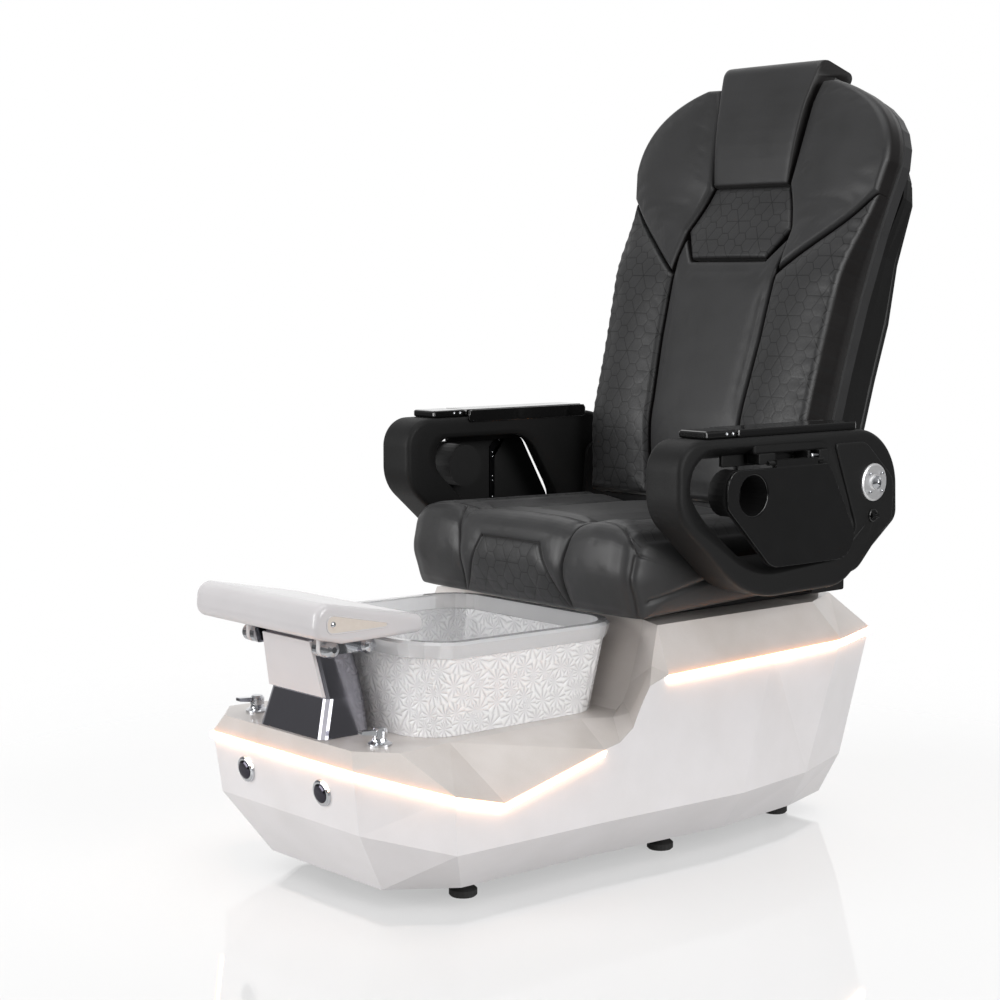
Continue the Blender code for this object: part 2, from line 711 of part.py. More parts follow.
def add_jet(root, plastic, dark):
    """Water jet: a domed cover inside the bowl and its sealed motor behind the wall."""
    for name, inside, surface in (("jet_cover", True, plastic), ("jet_motor", False, dark)):
        centre, slope = jet_wall(inside)
        way = -1.0 if inside else 1.0
        if inside:
            profile = [(JET_RADIUS, GAP), (JET_RADIUS, 0.008), (0.7 * JET_RADIUS, 0.014)]
        else:
            profile = [(0.9 * JET_RADIUS, GAP), (0.9 * JET_RADIUS, 0.045), (0.6 * JET_RADIUS, 0.060)]
        shape = turned(profile, (0, 0, 0))
        turn = Matrix.Rotation(-way * pi / 2 - slope, 4, "X")
        bmesh.ops.transform(shape, matrix=Matrix.Translation(centre) @ turn, verts=shape.verts)
        add(name, shape, surface, root)


# Footrest and controls


def column_levels():
    """(height, half width, front, rear) of the column at its foot, waist and top."""
    front = FOOTREST_PIVOT[0]
    return [
        (FRONT_DECK_HEIGHT + GAP, COLUMN_BOTTOM_HALF_WIDTH, front - 0.001, front + 0.099),
        (COLUMN_WAIST_HEIGHT, 0.9 * COLUMN_BOTTOM_HALF_WIDTH, front + 0.017, front + 0.096),
        (COLUMN_TOP_HEIGHT, COLUMN_TOP_HALF_WIDTH, front - 0.003, front + 0.074),
    ]


def add_column(root, mirror, white):
    levels = column_levels()
    rings = [rounded_ring(half, front, rear, 0.012, z, 3) for z, half, front, rear in levels]
    add("footrest_column", loft(rings), mirror, root)
    low, high = levels[1], levels[2]
    rings = []
    for part in (0.04, 0.98):
        z, half, front = (low[k] + (high[k] - low[k]) * part for k in range(3))
        rings.append(
            [
                Vector((-half + 0.003, front - GAP, z)),
                Vector((half - 0.003, front - GAP, z)),
                Vector((half - 0.005, front - 0.005, z)),
                Vector((-half + 0.005, front - 0.005, z)),
            ]
        )
    add("column_plate", loft(rings), white, root)


def add_footrest(root, chrome, white):
    """Fixed yoke on the column, and the pad that tips up about its front pins."""
    y, z = FOOTREST_PIVOT
    cheek = COLUMN_TOP_HALF_WIDTH + 0.011
    thick = YOKE_CHEEK
    boss = YOKE_BOSS_RADIUS
    pin = FOOTREST_PIN_RADIUS
    plate_top = YOKE_TOP
    half = cheek + 0.006
    seat = box((-half, half), (y + 0.011, y + 0.071), (COLUMN_TOP_HEIGHT + GAP, plate_top))
    yoke = add("footrest_bracket", seat, chrome, root)
    for sign in SIDES.values():
        bar = rounded(
            [
                (y - boss, z - boss, boss - 0.001),
                (y + 0.0885, z - boss, boss - 0.001),
                (y + 0.0885, plate_top, 0.004),
                (y + 0.020, plate_top, 0.004),
                (y - boss, z + boss, boss - 0.001),
            ],
            4,
        )
        ends = sorted((sign * cheek, sign * (cheek + thick)))
        combine(yoke, plate(bar, *ends, "x"), "UNION", root)
        knuckles = [
            (pin, thick - 0.004),
            (pin, thick + 0.0115),
            (boss, thick + 0.0116),
            (boss, thick + 0.022),
            (0.8 * boss, thick + 0.028),
            (0.35 * boss, thick + 0.031),
        ]
        stub = [(boss, thick - 0.004)] + knuckles[3:]
        for place, profile in ((y, knuckles), (y + 0.074, stub)):
            turn = [(radius, sign * along) for radius, along in profile]
            combine(yoke, turned(turn, (sign * cheek, place, z), "x", count=20), "UNION", root)

    pivot = Carrier("footrest_axis", (0.0, y, z), root)
    side = rounded(
        [
            (y - 0.053, plate_top + 0.006, 0.020),
            (y - 0.045, plate_top + 0.068, 0.018),
            (y + 0.125, plate_top + 0.034, 0.012),
            (y + 0.150, plate_top + 0.016, 0.005),
            (y + 0.130, plate_top + 0.0005, 0.012),
            (y - 0.020, plate_top + 0.0005, 0.020),
        ],
        4,
    )
    half = FOOTREST_HALF_WIDTH
    middle = (y + 0.03, plate_top + 0.025)
    rings = []
    for x, scale in ((-half, 0.90), (-half + 0.006, 1.0), (half - 0.006, 1.0), (half, 0.90)):
        rings.append(
            [
                Vector((x, middle[0] + (a - middle[0]) * scale, middle[1] + (b - middle[1]) * scale))
                for a, b in side
            ]
        )
    pad = add("footrest_pad", loft(rings), white, pivot)
    drop = rounded(
        [
            (y - 0.030, plate_top + 0.014, 0.012),
            (y - 0.030, plate_top + 0.044, 0.012),
            (y + 0.105, plate_top + 0.020, 0.004),
        ]
    )
    for sign in SIDES.values():
        ends = sorted((sign * (half - 0.005), sign * (half + 0.01)))
        combine(pad, plate(drop, *ends, "x"), "DIFFERENCE", pivot)
        lug = rounded(
            [
                (y - boss, z - boss, boss - 0.001),
                (y + boss, z - boss, boss - 0.001),
                (y + boss, plate_top + 0.012, 0.002),
                (y - boss, plate_top + 0.012, 0.002),
            ]
        )
        ends = sorted((sign * (cheek + thick + 0.0005), sign * (cheek + thick + 0.0111)))
        hole = circle((y, z), pin + GAP, 20)
        combine(pad, plate(lug, *ends, "x", hole), "UNION", pivot)


def button_matrix(sign):
    """Place of a button on the sloped front face, its own +Z pointing out of the face."""
    light, crease = light_loop()[0], crease_loop()[0]
    part = BUTTON_DROP / (light.z - crease.z)
    tilt = atan2(crease.y - light.y, light.z - crease.z)
    centre = light.lerp(crease, part)
    centre.x = sign * BUTTON_SPACING / 2
    return Matrix.Translation(centre) @ Matrix.Rotation(pi / 2 + tilt, 4, "X")


def add_buttons(root, chrome, satin):
    """Two push buttons, each a cap that slides in a fixed ring."""
    radius = BUTTON_RADIUS
    ring = [
        (radius + GAP, GAP),
        (radius + 0.007, GAP),
        (radius + 0.006, 0.004),
        (radius + 0.003, 0.0055),
        (radius + GAP, 0.0055),
    ]
    cap = [
        (radius - 0.002, -0.016),
        (radius, -0.014),
        (radius, 0.0065),
        (radius - 0.003, 0.0080),
        (0.4 * radius, 0.0085),
    ]
    for side, sign in SIDES.items():
        matrix = button_matrix(sign)
        tilt = matrix.to_euler().x
        fixed = Carrier(f"button_seat_{side}", matrix.translation, root, tilt)
        moving = Carrier(f"button_axis_{side}", matrix.translation, root, tilt)
        add(f"button_bezel_{side}", turned(ring, (0, 0, 0), closed=True), chrome, fixed)
        add(f"button_cap_{side}", turned(cap, (0, 0, 0)), satin, moving)


def add_taps(root, chrome):
    """Two quarter-turn taps on the front deck, each a flange and a lever."""
    deck = FRONT_DECK_HEIGHT + GAP
    stem = deck + 0.012
    flange = [(0.020, deck), (0.020, deck + 0.003), (0.013, deck + 0.007), (0.011, stem)]
    hub = [(0.012, stem + GAP), (0.0125, stem + 0.012), (0.009, stem + 0.016)]
    for side, sign in SIDES.items():
        centre = (sign * TAP_SPACING / 2, TAP_Y, 0.0)
        add(f"tap_flange_{side}", turned(flange, centre), chrome, root)
        axis = Carrier(f"tap_axis_{side}", centre, root)
        lever = add(f"tap_lever_{side}", turned(hub, centre, count=20), chrome, axis)
        blade = rounded(
            [
                (TAP_Y - TAP_LEVER_LENGTH, stem + 0.010, 0.0015),
                (TAP_Y, stem + 0.004, 0.0015),
                (TAP_Y, stem + 0.013, 0.0015),
                (TAP_Y - TAP_LEVER_LENGTH, stem + 0.016, 0.0015),
            ],
            3,
        )
        combine(lever, plate(blade, centre[0] - 0.0055, centre[0] + 0.0055, "x"), "UNION", axis)


# Seat carriage


def add_rails(root, steel):
    for side, sign in SIDES.items():
        x = sorted((sign * (RAIL_CENTRE_X - RAIL_WIDTH / 2), sign * (RAIL_CENTRE_X + RAIL_WIDTH / 2)))
        y = (CARRIAGE_FRONT_Y + 0.015, CARRIAGE_REAR_Y + 0.010)
        add(f"slide_rail_{side}", box(x, y, (SEAT_DECK_HEIGHT + GAP, RAIL_TOP)), steel, root)


def runner_outer():
    return RAIL_CENTRE_X + RAIL_WIDTH / 2 + RUNNER_WALL


def add_seat_frame(carriage, black, steel):
    """Folded seat frame: two runners over the rails, the seat plate and the ears of the recline shaft."""
    outer = runner_outer()
    reach = RAIL_WIDTH / 2 + RUNNING_GAP
    inner = RAIL_CENTRE_X - RAIL_WIDTH / 2 - RUNNER_WALL
    slot = (RAIL_CENTRE_X - reach, RAIL_CENTRE_X + reach)
    foot = RAIL_TOP - 0.68 * RAIL_HEIGHT
    roof = RAIL_TOP + RUNNING_GAP
    under = SEAT_PLATE_BOTTOM
    half = [
        (inner, under),
        (inner, foot),
        (slot[0], foot),
        (slot[0], roof),
        (slot[1], roof),
        (slot[1], foot),
        (outer, foot),
        (outer, SEAT_PLATE_TOP),
    ]
    profile = half + [(-x, z) for x, z in reversed(half)]
    frame = add("seat_frame", plate(profile, CARRIAGE_FRONT_Y, CARRIAGE_REAR_Y, "y"), black, carriage)
    open_y = (RECLINE_Y - 0.035, CARRIAGE_REAR_Y + 0.01)
    clear = box((-inner + 0.001, inner - 0.001), open_y, (under - 0.01, SEAT_PLATE_TOP + 0.01))
    combine(frame, clear, "DIFFERENCE", carriage)
    for sign in SIDES.values():
        ear = rounded(
            [
                (RECLINE_Y - 0.030, SEAT_PLATE_TOP - 0.004, 0.003),
                (RECLINE_Y + 0.030, SEAT_PLATE_TOP - 0.004, 0.003),
                (RECLINE_Y + 0.022, RECLINE_Z + 0.022, 0.016),
                (RECLINE_Y - 0.022, RECLINE_Z + 0.022, 0.016),
            ]
        )
        ends = sorted((sign * (outer - 0.012), sign * outer))
        hole = circle((RECLINE_Y, RECLINE_Z), SHAFT_RADIUS + GAP)
        combine(frame, plate(ear, *ends, "x", hole), "UNION", carriage)
    rod = [(SHAFT_RADIUS, -outer - 0.004), (SHAFT_RADIUS, outer + 0.004)]
    add("recline_shaft", turned(rod, (0, RECLINE_Y, RECLINE_Z), "x"), steel, carriage)


def add_recline_drive(carriage, black, steel):
    """Linear drive under the seat plate. Its rod pushes the lever of the back through a slotted fork."""
    z = LEVER_PIN_Z
    radius = DRIVE_RADIUS
    motor_rear = RECLINE_Y - 0.110
    motor_front = motor_rear - DRIVE_LENGTH
    bore = DRIVE_BORE
    fork_front = RECLINE_Y - 0.040
    profile = [
        (bore, motor_rear - 0.090),
        (bore, motor_rear),
        (0.7 * radius, motor_rear),
        (0.7 * radius, motor_rear - 0.060),
        (radius, motor_rear - 0.065),
        (radius, motor_front),
        (0.8 * radius, motor_front - 0.008),
        (0.25 * radius, motor_front - 0.008),
        (0.25 * radius, motor_rear - 0.090),
    ]
    add("recline_motor", turned(profile, (0, 0, z), "y", closed=True), black, carriage)
    axis = Carrier("actuator_axis", (0.0, fork_front, z), carriage)
    rod = [(bore - GAP, motor_rear - 0.052), (bore - GAP, fork_front + 0.004)]
    made = add("actuator_rod", turned(rod, (0, 0, z), "y"), steel, axis)
    fork = rounded(
        [
            (fork_front, z - 0.014, 0.003),
            (RECLINE_Y + 0.012, z - 0.014, 0.006),
            (RECLINE_Y + 0.012, z + 0.021, 0.006),
            (fork_front, z + 0.014, 0.003),
        ]
    )
    slot = [
        (RECLINE_Y - 0.006, z - 0.006),
        (RECLINE_Y + 0.006, z - 0.006),
        (RECLINE_Y + 0.006, z + 0.014),
        (RECLINE_Y - 0.006, z + 0.014),
    ]
    combine(made, plate(fork, -0.016, 0.016, "x", slot), "UNION", axis)
    mouth = box((-0.008, 0.008), (RECLINE_Y - 0.030, RECLINE_Y + 0.03), (z - 0.03, z + 0.05))
    combine(made, mouth, "DIFFERENCE", axis)


def add_arm_brackets(carriage, black):
    """Angle brackets on the runners. Each ends in the axle of its arm."""
    y, z = ARM_PIVOT
    outer = ARM_INNER_X - 0.006
    inner = outer - BRACKET_THICKNESS
    foot = RAIL_TOP + 0.006
    for side, sign in SIDES.items():
        outline = rounded(
            [
                (y - 0.055, foot, 0.004),
                (y + 0.035, foot, 0.004),
                (y + 0.034, z + 0.034, 0.030),
                (y - 0.034, z + 0.034, 0.030),
            ]
        )
        ends = sorted((sign * inner, sign * outer))
        bracket = add(f"arm_bracket_{side}", plate(outline, *ends, "x"), black, carriage)
        x = sorted((sign * (runner_outer() + GAP), sign * (outer - 0.001)))
        combine(bracket, box(x, (y - 0.050, y + 0.030), (foot + 0.001, foot + 0.011)), "UNION", carriage)
        axle = [(AXLE_RADIUS, sign * (inner + 0.002)), (AXLE_RADIUS, sign * (ARM_INNER_X + AXLE_LENGTH))]
        combine(bracket, turned(axle, (0, y, z), "x"), "UNION", carriage)


def seat_profile(draw, lift, bulge):
    """Side outline of the seat cushion, drawn in by draw, with its top lifted and its front pushed out."""
    front = SEAT_FRONT_Y - bulge + draw
    return rounded(
        [
            (SEAT_FRONT_Y + 0.012 + draw, SEAT_BOTTOM, 0.014),
            (front, SEAT_TOP - 0.080, 0.060),
            (front + 0.006, SEAT_TOP + lift - draw, 0.034),
            (SEAT_REAR_Y - draw, SEAT_TOP - 0.008 + lift - draw, 0.024),
            (SEAT_REAR_Y - draw, SEAT_BOTTOM + 0.016, 0.008),
        ],
        4,
    )


def add_seat_cushion(carriage, leather):
    """Seat with a crowned middle between two channels, raised sides and an apron down the front."""
    half = SEAT_HALF_WIDTH
    stations = (
        (0.000, 0.0000, 0.004, 0.008),
        (0.260, 0.0000, 0.002, 0.006),
        (0.440, 0.0000, -0.003, 0.002),
        (0.480, 0.0000, -0.008, -0.004),
        (0.520, 0.0000, -0.002, 0.000),
        (0.680, 0.0000, 0.006, 0.003),
        (0.860, 0.0020, 0.006, 0.002),
        (0.955, 0.0080, 0.002, 0.000),
        (1.000, 0.0200, -0.004, 0.000),
    )
    rings = []
    for part, draw, lift, bulge in list(reversed(stations)) + list(stations[1:]):
        sign = -1.0 if len(rings) < len(stations) else 1.0
        rings.append([Vector((sign * part * half, y, z)) for y, z in seat_profile(draw, lift, bulge)])
    cushion = add("seat_cushion", loft(rings), leather, carriage)
    reach = runner_outer() + 0.0005
    room = box(
        (-reach, reach),
        (CARRIAGE_FRONT_Y - 0.0005, SEAT_REAR_Y + 0.02),
        (SEAT_BOTTOM - 0.02, SEAT_PLATE_TOP + GAP),
    )
    combine(cushion, room, "DIFFERENCE", carriage)


# Back: drawn in its own frame, with X across, Y through the back towards the rear and Z up along it


def back_width(t):
    """Half width of the back below the shoulder, where it flares out."""
    part = (t - BACK_BOTTOM) / (BACK_SHOULDER - BACK_BOTTOM)
    return BACK_BOTTOM_HALF_WIDTH + BACK_FLARE * part**3


def eased(share):
    share = min(1.0, max(0.0, share))
    return share * share * (3 - 2 * share)


def back_swell(t):
    """Extra thickness of the panels over the lumbar curve, none at the foot and at the neck."""
    neck = BACK_SHOULDER - NECK_DROP
    return BACK_SWELL * eased((t - BACK_BOTTOM) / 0.18) * (1 - eased((t - neck + 0.05) / 0.19))


def back_arch(turn):
    """Point of the arched top of the back, from the shoulder (0) to the crown (1)."""
    power = 2 / 2.3
    angle = turn * pi / 2
    x = BACK_TOP_HALF_WIDTH * max(cos(angle), 0.0) ** power
    return Vector((x, BACK_SHOULDER + BACK_ARCH * sin(angle) ** power))


def back_outline(margin, bottom, drop):
    """Outline of the back, drawn in by a margin, cut off at a bottom height and with its arch dropped."""
    corner = back_width(bottom) - margin
    half = [(corner - 0.030, bottom), (corner - 0.008, bottom + 0.008)]
    for k in range(1, 6):
        t = bottom + 0.030 + (BACK_SHOULDER - drop - bottom - 0.030) * (k - 1) / 5
        half.append((back_width(t) - margin, t))
    for k in range(9):
        point = back_arch(k / 9)
        shrink = 1 - margin / BACK_TOP_HALF_WIDTH
        half.append((point.x * shrink, point.y - drop - margin * sin(k / 9 * pi / 2)))
    crown = (0.0, BACK_CROWN - drop - margin)
    return half + [crown] + [(-x, t) for x, t in reversed(half)]


def shell_share(t):
    """Share of the shell's thickness: full up to the middle of the back, then thinner towards the crown."""
    low = BACK_BOTTOM + SHELL_FOOT + 0.030
    return 1.0 - SHELL_TAPER * max(0.0, t - low - 0.6 * (BACK_SHOULDER - SHELL_DROP - low))


def back_layer(levels, bottom, drop=0.0):
    """Loft of outlines through the thickness of the back: levels are (depth, share of the shell, margin)."""
    rings = []
    for depth, share, margin in levels:
        ring = []
        for x, t in back_outline(margin, bottom, drop):
            ring.append(Vector((x, depth + share * SHELL_THICKNESS * shell_share(t), t)))
        rings.append(ring)
    shape = loft(rings, capped=False)
    verts = list(shape.verts)
    count = len(rings[0])
    for ring in (verts[:count], verts[-count:]):
        for i in range(count // 2 - 1):
            shape.faces.new((ring[i], ring[i + 1], ring[-i - 2], ring[-i - 1]))
        shape.faces.new(ring[count // 2 - 1 : count // 2 + 2])
    return shape


def add_back_body(back, leather, plastic, gloss):
    """Upholstered board with its hinge lugs and drive lever, then the rear shell and its cover."""
    board_rear = BOARD_FRONT + BOARD_THICKNESS
    levels = [
        (BOARD_FRONT, 0.0, 0.010),
        (BOARD_FRONT + 0.006, 0.0, 0.004),
        (board_rear - 0.006, 0.0, 0.006),
        (board_rear, 0.0, 0.012),
    ]
    board = add("back_board", back_layer(levels, BACK_BOTTOM), leather, back)
    hole = circle((0.0, 0.0), SHAFT_RADIUS + GAP)
    lug = rounded(
        [
            (-0.020, -0.020, 0.018),
            (0.020, -0.020, 0.018),
            (board_rear - 0.006, BACK_BOTTOM + 0.020, 0.002),
            (BOARD_FRONT + 0.004, BACK_BOTTOM + 0.020, 0.002),
        ]
    )
    for sign in SIDES.values():
        ends = sorted((sign * (runner_outer() - 0.0235), sign * (runner_outer() - 0.0125)))
        combine(board, plate(lug, *ends, "x", hole), "UNION", back)
    pin = (LEVER_LENGTH * sin(BACK_LEAN), -LEVER_LENGTH * cos(BACK_LEAN))
    lever = rounded(
        [
            (pin[0] - 0.009, pin[1] - 0.009, 0.008),
            (pin[0] + 0.009, pin[1] - 0.009, 0.008),
            (0.022, 0.0, 0.010),
            (board_rear - 0.008, BACK_BOTTOM + 0.020, 0.002),
            (BOARD_FRONT + 0.004, BACK_BOTTOM + 0.020, 0.002),
            (-0.018, 0.0, 0.010),
        ]
    )
    combine(board, plate(lever, -0.0075, 0.0075, "x", hole), "UNION", back)
    cross = turned([(0.004, -0.015), (0.004, 0.015)], (0.0, pin[0], pin[1]), "x", count=16)
    combine(board, cross, "UNION", back)

    levels = [
        (SHELL_FRONT, 0.0, 0.015),
        (SHELL_FRONT, 0.3, 0.017),
        (SHELL_FRONT, 0.8, 0.022),
        (SHELL_FRONT, 1.0, 0.032),
    ]
    bottom = BACK_BOTTOM + SHELL_FOOT
    add("back_shell", back_layer(levels, bottom, SHELL_DROP), plastic, back)
    levels = [
        (COVER_FRONT, 1.0, 0.033),
        (COVER_FRONT + 0.35 * COVER_THICKNESS, 1.0, 0.035),
        (COVER_FRONT + 0.8 * COVER_THICKNESS, 1.0, 0.052),
        (COVER_FRONT + COVER_THICKNESS, 1.0, 0.080),
    ]
    add("rear_cover", back_layer(levels, bottom, SHELL_DROP), gloss, back)


def path(*points):
    """Point at a share of the length along a chain of points."""
    chain = [Vector(p) for p in points]
    lengths = [(b - a).length for a, b in zip(chain, chain[1:])]

    def at(share):
        left = share * sum(lengths)
        for start, end, length in zip(chain, chain[1:], lengths):
            if left <= length:
                return start.lerp(end, left / length)
            left -= length
        return chain[-1].copy()

    return at


def flipped(curve, sign):
    def at(share):
        point = curve(share)
        return Vector((sign * point.x, point.y))

    return at


def pad(bottom, top, inner, outer, crown, edge=0.016, cells=(6, 8)):
    """Closed pad over a blend of four edge curves, with a crowned front and drawn-in sides."""
    across, along = cells
    shape = bmesh.new()
    front, rear = [], []
    for j in range(along + 1):
        v = j / along
        front_row, rear_row = [], []
        for i in range(across + 1):
            u = i / across
            sides = inner(v).lerp(outer(v), u)
            ends = bottom(u).lerp(top(u), v)
            low = bottom(0).lerp(bottom(1), u)
            high = top(0).lerp(top(1), u)
            point = sides + ends - low.lerp(high, v)
            rise = (1 - abs(2 * u - 1) ** 3) * (1 - abs(2 * v - 1) ** 4)
            side_wall = edge + back_swell(point.y)
            depth = PAD_BACK - side_wall - (PAD_THICKNESS + crown - edge) * sqrt(rise)
            front_row.append(shape.verts.new((point.x, depth, point.y)))
            rear_row.append(shape.verts.new((point.x, PAD_BACK, point.y)))
        front.append(front_row)
        rear.append(rear_row)
    for rows in (front, rear):
        for j in range(along):
            for i in range(across):
                shape.faces.new((rows[j][i], rows[j][i + 1], rows[j + 1][i + 1], rows[j + 1][i]))
    rims = []
    for rows in (front, rear):
        rim = rows[0][:] + [row[-1] for row in rows[1:]]
        rim += rows[-1][-2::-1] + [row[0] for row in rows[-2:0:-1]]
        rims.append(rim)
    skin(shape, *rims)
    return shape


def back_lines():
    """Seam lines of the back panels on the left half, each as (x, height along the back)."""
    waist = BACK_SHOULDER - NECK_DROP
    neck_top = waist + 0.152
    foot = BACK_BOTTOM + 0.014
    rise = waist - 0.020 - foot
    return {
        "centre": [
            (0.114, foot),
            (0.120, foot + 0.41 * rise),
            (0.130, foot + 0.68 * rise),
            (0.135, foot + rise),
        ],
        "neck": [(0.098, waist), (0.135, waist + 0.060), (0.098, neck_top)],
        "pillow": [
            (0.098, neck_top),
            (0.104, neck_top + 0.060),
            (0.114, neck_top + 0.160),
            (0.126, BACK_CROWN),
        ],
        "wing_low": [
            (0.142, waist - 0.022),
            (0.200, waist + 0.026),
            (BACK_TOP_HALF_WIDTH - 0.060, waist + 0.085),
        ],
    }


def shifted(points, dx, dt=0.0):
    return [(x + dx, t + dt) for x, t in points]


def add_back_pads(back, leather, leather_quilted):
    """Upholstered panels of the back, each its own pad between the seams."""
    lines = back_lines()
    for name, edge_line, surface, crown in (
        ("centre_pad", lines["centre"], leather, 0.004),
        ("neck_pad", lines["neck"], leather_quilted, 0.004),
    ):
        right = path(*shifted(edge_line, -SEAM))
        low, high = right(0), right(1)
        bottom = path((-low.x, low.y), low)
        top = path((-high.x, high.y), high)
        shape = pad(bottom, top, flipped(right, -1), right, crown, cells=(8, 8))
        bmesh.ops.translate(shape, vec=(0, 0, SEAM), verts=shape.verts)
        add(name, shape, surface, back)

    rim_t = lines["neck"][0][1] + 0.135
    seam = lines["neck"] + lines["pillow"][1:3]
    seam = shifted(seam[1:], SEAM + 0.002)
    inner = path(lines["wing_low"][0], *seam, (0.132, BACK_CROWN - 0.019))

    def wing_outer(share):
        if share < 0.2:
            t = rim_t + (BACK_SHOULDER - rim_t) * share / 0.2
            return Vector((back_width(t) - 0.004, t))
        point = back_arch((share - 0.2) / 0.8 * 0.70)
        return Vector((point.x - 0.004, point.y - 0.002))

    tip = lines["wing_low"][0]
    bolster_inner = path(*shifted(lines["centre"][:3], SEAM + 0.001), (tip[0] - 0.0055, tip[1] - 0.010))

    def bolster_outer(share):
        start, end = lines["centre"][0][1], rim_t - SEAM * 2
        t = start + (end - start) * share
        return Vector((back_width(t) - 0.004, t))

    bolster_low = path(bolster_inner(0), bolster_outer(0))
    bolster_top = path(bolster_inner(1), *shifted(lines["wing_low"][1:], 0.0, -SEAM * 2), bolster_outer(1))
    wing_top = path(inner(1), wing_outer(1))
    wing_low = path(inner(0), *lines["wing_low"][1:], wing_outer(0))
    for side, sign in SIDES.items():
        curves = [flipped(c, sign) for c in (wing_low, wing_top, inner, wing_outer)]
        add(f"wing_pad_{side}", pad(*curves, 0.018, 0.028, (6, 10)), leather, back)
        curves = [flipped(c, sign) for c in (bolster_low, bolster_top, bolster_inner, bolster_outer)]
        add(f"bolster_{side}", pad(*curves, 0.010, 0.022, (6, 10)), leather_quilted, back)

    add("head_pillow", pillow_shape(path(*shifted(lines["pillow"], -SEAM))), leather, back)


def pillow_shape(edge):
    """Head pillow: a thick roll down the front of the back that laps over its crown."""
    crown = BACK_CROWN
    low = edge(0).y + 2 * SEAM
    side = rounded(
        [
            (PAD_BACK, low, 0.004),
            (PAD_FRONT - 0.012, low, 0.016),
            (PAD_FRONT - 0.034, low + 0.120, 0.060),
            (PAD_FRONT - 0.012, crown + 0.026, 0.034),
            (BOARD_THICKNESS + 0.010, crown + 0.022, 0.011),
            (BOARD_THICKNESS + 0.004, crown + GAP, 0.004),
            (PAD_BACK, crown + GAP, 0.0005),
        ],
        3,
    )
    high = max(t for d, t in side)
    rings = []
    half_shares = ((0.8, 1.0), (0.96, 0.95), (1.0, 0.86))
    shares = [(-share, scale) for share, scale in reversed(half_shares)] + [(0.0, 1.03), *half_shares]
    for share, scale in shares:
        ring = []
        for d, t in side:
            half = edge((t - low) / (high - low)).x
            deep = PAD_BACK + (d - PAD_BACK) * scale if d < PAD_BACK else d
            ring.append(Vector((share * half, deep, t)))
        rings.append(ring)
    return loft(rings)


# Arms


def arm_outline():
    y, z = ARM_PIVOT
    front = ARM_FRONT_Y
    low = z - ARM_DEPTH
    return rounded(
        [
            (front, ARM_TOP, 0.054),
            (y + 0.072, ARM_TOP, 0.108),
            (y + 0.078, z - 0.070, 0.030),
            (y - 0.075, low + 0.003, 0.090),
            (front + 0.175, low, 0.190),
            (front, z - 0.031, 0.080),
        ]
    )


def arm_opening(share):
    """Outline of the hand opening, from its inner mouth (0) to its wider outer mouth (1)."""
    y, z = ARM_PIVOT
    front = ARM_FRONT_Y
    inner = [
        (front + 0.070, ARM_TOP - 0.039, 0.035),
        (y - 0.188, ARM_TOP - 0.039, 0.080),
        (y - 0.075, z - 0.121, 0.040),
        (front + 0.199, z - 0.121, 0.100),
        (front + 0.070, z - 0.002, 0.040),
    ]
    outer = [
        (front + 0.022, ARM_TOP - 0.036, 0.050),
        (y - 0.160, ARM_TOP - 0.036, 0.040),
        (y - 0.078, z - 0.142, 0.045),
        (front + 0.184, z - 0.152, 0.120),
        (front + 0.022, z - 0.022, 0.055),
    ]
    pairs = zip(rounded(inner), rounded(outer))
    return [(a + (c - a) * share, b + (d - b) * share) for (a, b), (c, d) in pairs]


def tray_outline():
    y, z = ARM_PIVOT
    front = CUP_CENTRE[0] - CUP_RADIUS - 0.025
    top = TRAY_HINGE_Z - 0.008
    low = z - 0.130
    return rounded(
        [
            (front, top, 0.030),
            (y - 0.132, top, 0.014),
            (y - 0.061, z - 0.082, 0.020),
            (y - 0.069, low, 0.042),
            (front + 0.112, low, 0.045),
            (front, z - 0.020, 0.025),
        ]
    )


